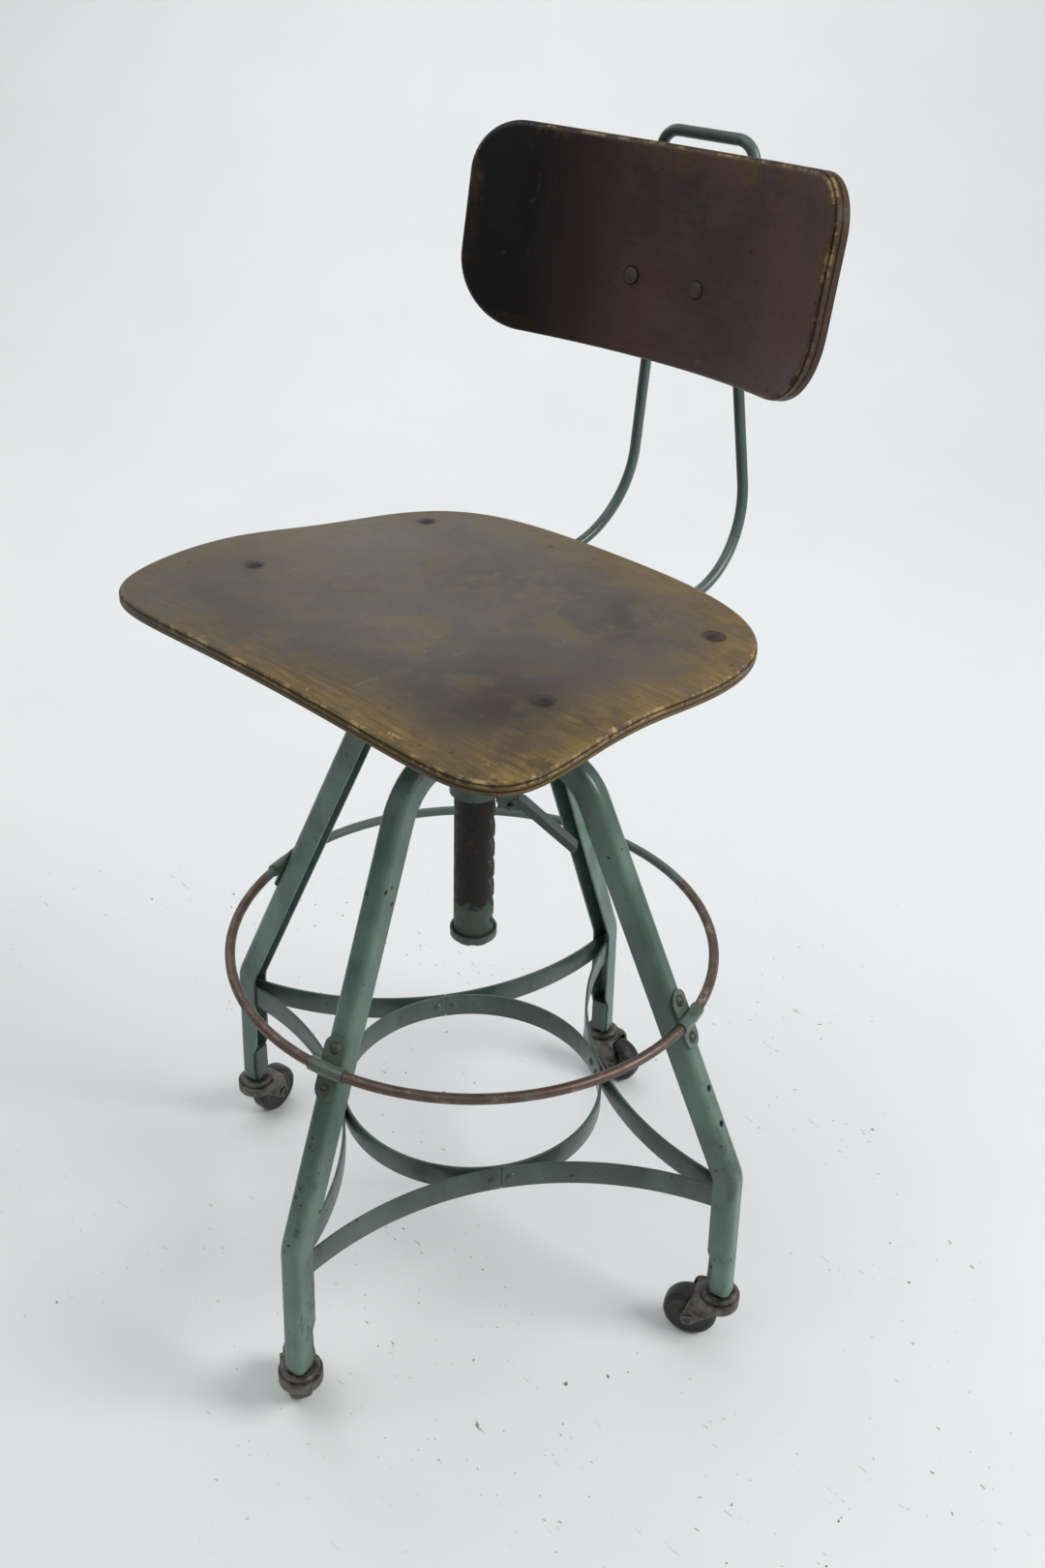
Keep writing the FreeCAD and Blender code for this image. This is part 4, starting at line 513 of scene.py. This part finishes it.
SLOT_FINISHES = {
    "leg_enamel": leg_paint,
    "rod_enamel": rod_paint,
    "brace_enamel": brace_paint,
    "hub_enamel": hub_paint,
    "ring_steel": ring_metal,
    "post_steel": post_metal,
    "zinc_fastener": zinc,
    "dark_fastener": blackened,
    "brown_fastener": browned,
    "caster_steel": caster_metal,
    "wheel_tread": wheel_black,
    "washer_rubber": wheel_black,
    "seat_ply": seat_varnish,
    "back_ply": back_varnish,
}


def coat(piece, material):
    """Give every slot of an object the material, on the object itself."""
    if not piece.material_slots:
        piece.data.materials.append(material)
    for slot in piece.material_slots:
        slot.link = "OBJECT"
        slot.material = material


for entry in frame["record"]["subparts"]:
    coat(nodes[entry["node"]], SLOT_FINISHES[entry["material_slot"]])
coat(nodes["back_bolts"], pale_brown)
for clip in range(1, 5):
    coat(nodes[f"ring_clip_{clip}"], clip_paint)

# --- pressed and broken edges ---------------------------------------------------------------------

# How far the sharp edges of each kind of pressed or turned piece are rounded, in millimetres.
EDGE_ROUNDING = {
    "caster_horn": 1.1,
    "caster_stems": 0.5,
    "ring_clip": 0.7,
    "release_lever": 1.4,
    "lever_bracket": 0.6,
    "wing_nuts": 0.9,
    "back_bracket": 0.6,
    "back_clamp_plate": 0.6,
    "seat_spider": 0.6,
    "rod_clamp": 0.6,
    "hub_top_plate": 0.8,
    "hub_bottom_plate": 0.8,
    "post_end_cap": 0.5,
    "brace_ring": 0.5,
    "brace_strap": 0.5,
}
SAME_POINT = 0.005 * MM
SHARP_ANGLE = math.radians(38)


def soften(piece, width):
    """Round a piece's sharp edges."""
    weld = piece.modifiers.new("join_faces", "WELD")
    weld.merge_threshold = SAME_POINT
    bevel = piece.modifiers.new("soft_edges", "BEVEL")
    bevel.width = width
    bevel.segments = 3
    bevel.limit_method = "ANGLE"
    bevel.angle_limit = SHARP_ANGLE
    bevel.use_clamp_overlap = True
    bevel.harden_normals = True


for node_name, piece in nodes.items():
    kind = node_name.rstrip("_1234")
    if kind in EDGE_ROUNDING:
        soften(piece, EDGE_ROUNDING[kind] * MM)

# --- seat -----------------------------------------------------------------------------------------

SEAT_HALF_WIDTH = 222.6 * MM
SEAT_FRONT = 210.8 * MM
SEAT_BACK = 159.7 * MM
SEAT_HEIGHT = 681.9 * MM
SEAT_TAPER = 0.063
SEAT_SLOPE = 0.03
SQUARENESS_BEHIND = 4.0
SQUARENESS_IN_FRONT = 6.7
SIDE_DROP = 10.75 * MM
FRONT_DROP = 3.75 * MM
FRONT_ROLL_LENGTH = 90 * MM
THIGH_RISE = 12.1 * MM
THIGH_PLACE = 80 * MM  # forward of the middle
THIGH_REACH = 96 * MM
DISH_DEPTH = 4.0 * MM
DISH_PLACE = 10 * MM  # behind the middle
DISH_HALF_WIDTH = 130 * MM
DISH_HALF_LENGTH = 95 * MM
SEAT_PLY = 11.0 * MM
SEAT_TOP_ARRIS = 3.6 * MM
SEAT_LOW_ARRIS = 3.0 * MM
SEAT_PLAN_POINTS = 240


def seat_top(x, y):
    """Height of the seat's upper face: dished, raised beside the thighs and rolled at the front."""
    across = (x / SEAT_HALF_WIDTH) ** 2
    front_roll = max(0.0, (-y - SEAT_FRONT) / FRONT_ROLL_LENGTH + 1)
    thigh_rise = THIGH_RISE * across * math.exp(-(((y + THIGH_PLACE) / THIGH_REACH) ** 2))
    dish_reach = (x / DISH_HALF_WIDTH) ** 2 + ((y - DISH_PLACE) / DISH_HALF_LENGTH) ** 2
    dish = DISH_DEPTH * math.exp(-dish_reach)
    height = SEAT_HEIGHT - SEAT_SLOPE * y + thigh_rise - dish
    return height - SIDE_DROP * across - FRONT_DROP * front_roll**2


def seat_outline(angle):
    """A point of the seat's plan, squarer in front than behind."""
    half_length = (SEAT_FRONT + SEAT_BACK) / 2
    middle = (SEAT_BACK - SEAT_FRONT) / 2
    squareness = SQUARENESS_BEHIND if math.sin(angle) > 0 else SQUARENESS_IN_FRONT
    sideways = abs(math.cos(angle) / SEAT_HALF_WIDTH) ** squareness
    lengthways = abs(math.sin(angle) / half_length) ** squareness
    radius = (sideways + lengthways) ** (-1 / squareness)
    along = radius * math.sin(angle)
    return Vector((radius * math.cos(angle) * (1 - SEAT_TAPER * along / half_length), middle + along))


FACE_SHARES = (0.03, 0.15, 0.3, 0.45, 0.6, 0.72, 0.82, 0.89, 0.94)  # of the way out from the middle
RIM_INSETS = (9 * MM, 6 * MM)
EDGE_SHARES = (0.25, 0.5, 0.75)
ARRIS_STEPS = 6
UNDERSIDE_WEAR = 0.1
UNDERSIDE_STARTS = 0.9  # share of the board's thickness
MIDDLE_RIM_DISTANCE = 0.1  # at the middle of a board, where only being far from the rim matters


def outward_normals(outline):
    """A flat direction away from the board at each point of its outline."""
    normals = []
    for i in range(len(outline)):
        along = outline[(i + 1) % len(outline)] - outline[i - 1]
        normals.append(Vector((along.y, -along.x)).normalized())
    return normals


def arris_rings(radius):
    """Inset and depth of the rings round one rounded arris, from the face to the edge."""
    turns = [math.pi / 2 * step / ARRIS_STEPS for step in range(ARRIS_STEPS + 1)]
    return [(radius * (1 - math.sin(turn)), radius * (1 - math.cos(turn))) for turn in turns]


def board_rings(ply, corner, back_corner):
    """Rings of points from the middle of a board's face to the middle of its underside.

    Each is (inset, share, depth): its distance in from the outline or, further in, its share of
    the way out from the middle, and its depth below the face."""
    rings = [(None, share, 0.0) for share in FACE_SHARES]
    rings += [(inset, None, 0.0) for inset in RIM_INSETS]
    rings += [(inset, None, depth) for inset, depth in arris_rings(corner)]
    rings += [(0.0, None, corner + (ply - corner - back_corner) * share) for share in EDGE_SHARES]
    rings += [(inset, None, ply - rise) for inset, rise in reversed(arris_rings(back_corner))]
    rings += [(inset, None, ply) for inset in reversed(RIM_INSETS)]
    rings += [(None, share, ply) for share in reversed(FACE_SHARES)]
    return rings


def flat_point(rim_point, normal, centre, inset, share):
    """Where a ring passes inside one point of the outline, and how far from it."""
    if share is None:
        return rim_point - normal * inset, inset
    flat = centre.lerp(rim_point - normal * RIM_INSETS[0], share)
    return flat, (rim_point - flat).length


def plywood_board(name, outline, to_space, wear_at, ply, corner, back_corner):
    """A board with rounded arrises: outline points inset ring by ring, top, edge and underside.

    outline is a closed list of flat points; to_space(point, depth) gives the place of a flat
    point at a depth below the face; wear_at(point) is 0 to 1."""
    count = len(outline)
    normals = outward_normals(outline)
    centre = sum(outline, Vector((0, 0))) / count
    rings = board_rings(ply, corner, back_corner)
    points = []
    kept = {"rim_distance": [], "edge_depth": [], "wear": []}

    def add_point(flat, depth, rim_distance, wear):
        points.append(to_space(flat, depth))
        kept["rim_distance"].append(rim_distance)
        kept["edge_depth"].append(depth / ply)
        kept["wear"].append(wear)

    for inset, share, depth in rings:
        for rim_point, normal in zip(outline, normals):
            flat, distance = flat_point(rim_point, normal, centre, inset, share)
            wear = wear_at(flat) if depth < ply * UNDERSIDE_STARTS else UNDERSIDE_WEAR
            add_point(flat, depth, distance, wear)
    faces = ring_faces(len(rings), count)
    last_ring = (len(rings) - 1) * count
    for i in range(count):
        beside = (i + 1) % count
        faces.append([len(points), beside, i])
    add_point(centre, 0.0, MIDDLE_RIM_DISTANCE, 0.0)
    for i in range(count):
        beside = (i + 1) % count
        faces.append([len(points), last_ring + i, last_ring + beside])
    add_point(centre, ply, MIDDLE_RIM_DISTANCE, 0.0)
    piece = make_piece(name, points, faces)
    for attribute, values in kept.items():
        keep_number(piece, attribute, values)
    return piece


def seat_place(flat, depth):
    """Where a flat point of the seat lies at a depth below its upper face."""
    return Vector((flat.x, flat.y, seat_top(flat.x, flat.y) - depth))


def seat_wear(flat):
    """Most worn on the sitter's left, where people slide on and off."""
    sideways = 0.5 + 0.5 * min(max(flat.x / SEAT_HALF_WIDTH, -1), 1)
    return 0.45 + 0.55 * sideways


seat_plan = [seat_outline(math.tau * step / SEAT_PLAN_POINTS) for step in range(SEAT_PLAN_POINTS)]
seat_board = plywood_board(
    "seat_board", seat_plan, seat_place, seat_wear, SEAT_PLY, SEAT_TOP_ARRIS, SEAT_LOW_ARRIS
)
coat(seat_board, seat_varnish)
stand_for(seat_board, "seat_shell")

# --- backrest -------------------------------------------------------------------------------------

PANEL_RADIUS = 326.0 * MM
PANEL_HALF_ARC = 191.5 * MM
PANEL_HALF_HEIGHT = 83.0 * MM
PANEL_TOP_CORNER = 43.0 * MM
PANEL_LOW_CORNER = 58.0 * MM
PANEL_PLY = 14.0 * MM
PANEL_FRONT_ARRIS = 4.8 * MM
PANEL_BACK_ARRIS = 2.5 * MM
PANEL_POINT_GAP = 9 * MM
PANEL_CORNER_STEPS = 30
PANEL_WORN_END = 180 * MM  # how far out the end's wear is at its full
PANEL_TILT = math.radians(9.4)
PANEL_HEIGHT = 914.4 * MM
PANEL_BACK = 210.6 * MM


def panel_outline():
    """The unrolled board: its lower corners are rounder than its upper ones."""
    corners = []
    for side, rise, start in ((1, 1, 0), (-1, 1, 90), (-1, -1, 180), (1, -1, 270)):
        radius = PANEL_TOP_CORNER if rise > 0 else PANEL_LOW_CORNER
        centre = Vector((side * (PANEL_HALF_ARC - radius), rise * (PANEL_HALF_HEIGHT - radius)))
        bend = []
        for step in range(PANEL_CORNER_STEPS + 1):
            angle = math.radians(start + 90 * step / PANEL_CORNER_STEPS)
            bend.append(centre + radius * Vector((math.cos(angle), math.sin(angle))))
        corners.append(bend)
    points = []
    for i, bend in enumerate(corners):
        points += bend
        run_start = bend[-1]
        run_end = corners[(i + 1) % 4][0]
        parts = max(2, round((run_end - run_start).length / PANEL_POINT_GAP))
        points += [run_start.lerp(run_end, step / parts) for step in range(1, parts)]
    return points


def panel_place(flat, depth):
    """Curve the board about a vertical axis in front of it, then lean it back."""
    reach = PANEL_RADIUS + depth
    turn = flat.x / PANEL_RADIUS
    curved = Vector((reach * math.sin(turn), reach * math.cos(turn) - PANEL_RADIUS, flat.y))
    leaned = Matrix.Rotation(-PANEL_TILT, 4, "X") @ curved
    return leaned + Vector((0, PANEL_BACK, PANEL_HEIGHT))


def panel_wear(flat):
    """Most worn along the top edge and at the end on the sitter's left."""
    top = min(max(flat.y / PANEL_HALF_HEIGHT, 0), 1)
    side = min(max(flat.x / PANEL_WORN_END, 0), 1)
    return 0.15 + 0.5 * top + 0.35 * side


back_board = plywood_board(
    "back_board",
    panel_outline(),
    panel_place,
    panel_wear,
    PANEL_PLY,
    PANEL_FRONT_ARRIS,
    PANEL_BACK_ARRIS,
)
coat(back_board, back_varnish)
stand_for(back_board, "backrest_panel")

# --- studio ---------------------------------------------------------------------------------------

CAMERA_PLACE = Vector((0.8169, -0.8036, 1.1866))
CAMERA_YAW = math.radians(133.46)
CAMERA_PITCH = math.radians(-30.56)
CAMERA_ROLL = math.radians(1.72)
CAMERA_LENS = 36.0  # millimetres, and so is the sensor's width
FLOOR_NEAR_END = -6.0
FLOOR_HALF_WIDTH = 7.0
SWEEP_START = 2.0
SWEEP_RADIUS = 2.4
SWEEP_STEPS = 12
WALL_HEIGHT = 6.0
HORIZON_LIGHT = 0.12
OVERHEAD_LIGHT = 0.60


def floor_profile():
    """Distances away from the camera and heights of the floor, its sweep and the wall behind."""
    profile = [(FLOOR_NEAR_END, 0.0), (0.0, 0.0)]
    for step in range(SWEEP_STEPS + 1):
        angle = math.pi / 2 * step / SWEEP_STEPS
        distance = SWEEP_START + SWEEP_RADIUS * math.sin(angle)
        profile.append((distance, SWEEP_RADIUS * (1 - math.cos(angle))))
    return profile + [(SWEEP_START + SWEEP_RADIUS, WALL_HEIGHT)]


def studio_white():
    """Pale paint with dirt scattered on it round the stool."""
    finish = Finish("studio_white")
    haze = finish.noise(2.2, 3.0)
    specks = finish.ramp(finish.noise(95.0, 2.0, 0.5), 0.725, 0.735)
    drawn_out = finish.stretched(1.0, 5.0, 1.0)
    hairs = finish.ramp(finish.noise(36.0, 3.0, 0.5, 2.0, place=drawn_out), 0.718, 0.726)
    dirt = finish.larger(specks, hairs)
    thin_out = finish.ramp(finish.noise(3.0, 2.0), 0.42, 0.65)
    near = finish.ramp(finish.distance_from(0.0, 0.0), 0.95, 0.55)
    pale = finish.mix(haze, tint(224, 226, 226), tint(232, 233, 233))
    dirt = finish.times(dirt, finish.times(thin_out, near))
    finish.set("Base Color", finish.mix(dirt, pale, tint(74, 72, 68)))
    finish.set("Roughness", 0.62)
    return finish.material


def studio_floor():
    """Pale floor that sweeps up into a backdrop behind the stool, away from the camera."""
    towards = Vector((math.cos(CAMERA_YAW), math.sin(CAMERA_YAW), 0))
    sideways = Vector((-towards.y, towards.x, 0))
    profile = floor_profile()
    points = []
    for distance, height in profile:
        for side in (-FLOOR_HALF_WIDTH, FLOOR_HALF_WIDTH):
            points.append(towards * distance + sideways * side + Vector((0, 0, height)))
    faces = [[2 * i, 2 * i + 1, 2 * i + 3, 2 * i + 2] for i in range(len(profile) - 1)]
    floor = make_piece("studio_floor", points, faces)
    coat(floor, studio_white())


def area_light(name, place, target, size, power):
    """A round soft light that faces a target."""
    data = bpy.data.lights.new(name, "AREA")
    data.shape = "DISK"
    data.size = size
    data.energy = power
    lamp = bpy.data.objects.new(name, data)
    lamp.location = place
    lamp.rotation_euler = (Vector(target) - Vector(place)).to_track_quat("-Z", "Y").to_euler()
    bpy.context.scene.collection.objects.link(lamp)


def studio_air():
    """Light from all round: bright overhead, dim near the horizon."""
    air = bpy.data.worlds.new("studio")
    air.use_nodes = True
    tree = air.node_tree
    place = tree.nodes.new("ShaderNodeTexCoord")
    parts = tree.nodes.new("ShaderNodeSeparateXYZ")
    tree.links.new(place.outputs["Generated"], parts.inputs["Vector"])
    rise = tree.nodes.new("ShaderNodeMapRange")
    tree.links.new(parts.outputs["Z"], rise.inputs["Value"])
    rise.inputs["From Min"].default_value = 0.0
    rise.inputs["From Max"].default_value = 0.9
    rise.inputs["To Min"].default_value = HORIZON_LIGHT
    rise.inputs["To Max"].default_value = OVERHEAD_LIGHT
    background = tree.nodes["Background"]
    background.inputs["Color"].default_value = (0.96, 0.98, 1.0, 1.0)
    tree.links.new(rise.outputs["Result"], background.inputs["Strength"])
    return air


def camera():
    """Look at the stool from its front left and from above."""
    ahead = Vector((
        math.cos(CAMERA_PITCH) * math.cos(CAMERA_YAW),
        math.cos(CAMERA_PITCH) * math.sin(CAMERA_YAW),
        math.sin(CAMERA_PITCH),
    ))
    level = ahead.cross(Vector((0, 0, 1))).normalized()
    upright = level.cross(ahead)
    right = math.cos(CAMERA_ROLL) * level + math.sin(CAMERA_ROLL) * upright
    up = math.cos(CAMERA_ROLL) * upright - math.sin(CAMERA_ROLL) * level
    data = bpy.data.cameras.new("camera")
    data.lens = CAMERA_LENS
    data.sensor_width = CAMERA_LENS
    data.clip_start = 0.01
    view = bpy.data.objects.new("camera", data)
    view.matrix_world = Matrix((
        (right.x, up.x, -ahead.x, CAMERA_PLACE.x),
        (right.y, up.y, -ahead.y, CAMERA_PLACE.y),
        (right.z, up.z, -ahead.z, CAMERA_PLACE.z),
        (0, 0, 0, 1),
    ))
    bpy.context.scene.collection.objects.link(view)
    bpy.context.scene.camera = view


studio_floor()
area_light("right_softbox", (2.3, 1.1, 2.3), target=(0, 0, 0.45), size=1.5, power=64)
area_light("left_softbox", (-2.4, 0.1, 2.4), target=(0, 0, 0.5), size=1.6, power=10)
area_light("front_softbox", (-0.6, -1.5, 3.1), target=(0, 0, 0.5), size=1.8, power=16)
area_light("backdrop_light", (-1.1, 1.1, 3.7), target=(-3.5, 3.6, 1.7), size=1.8, power=60)
bpy.context.scene.world = studio_air()
bpy.context.scene.view_settings.view_transform = "Standard"
camera()
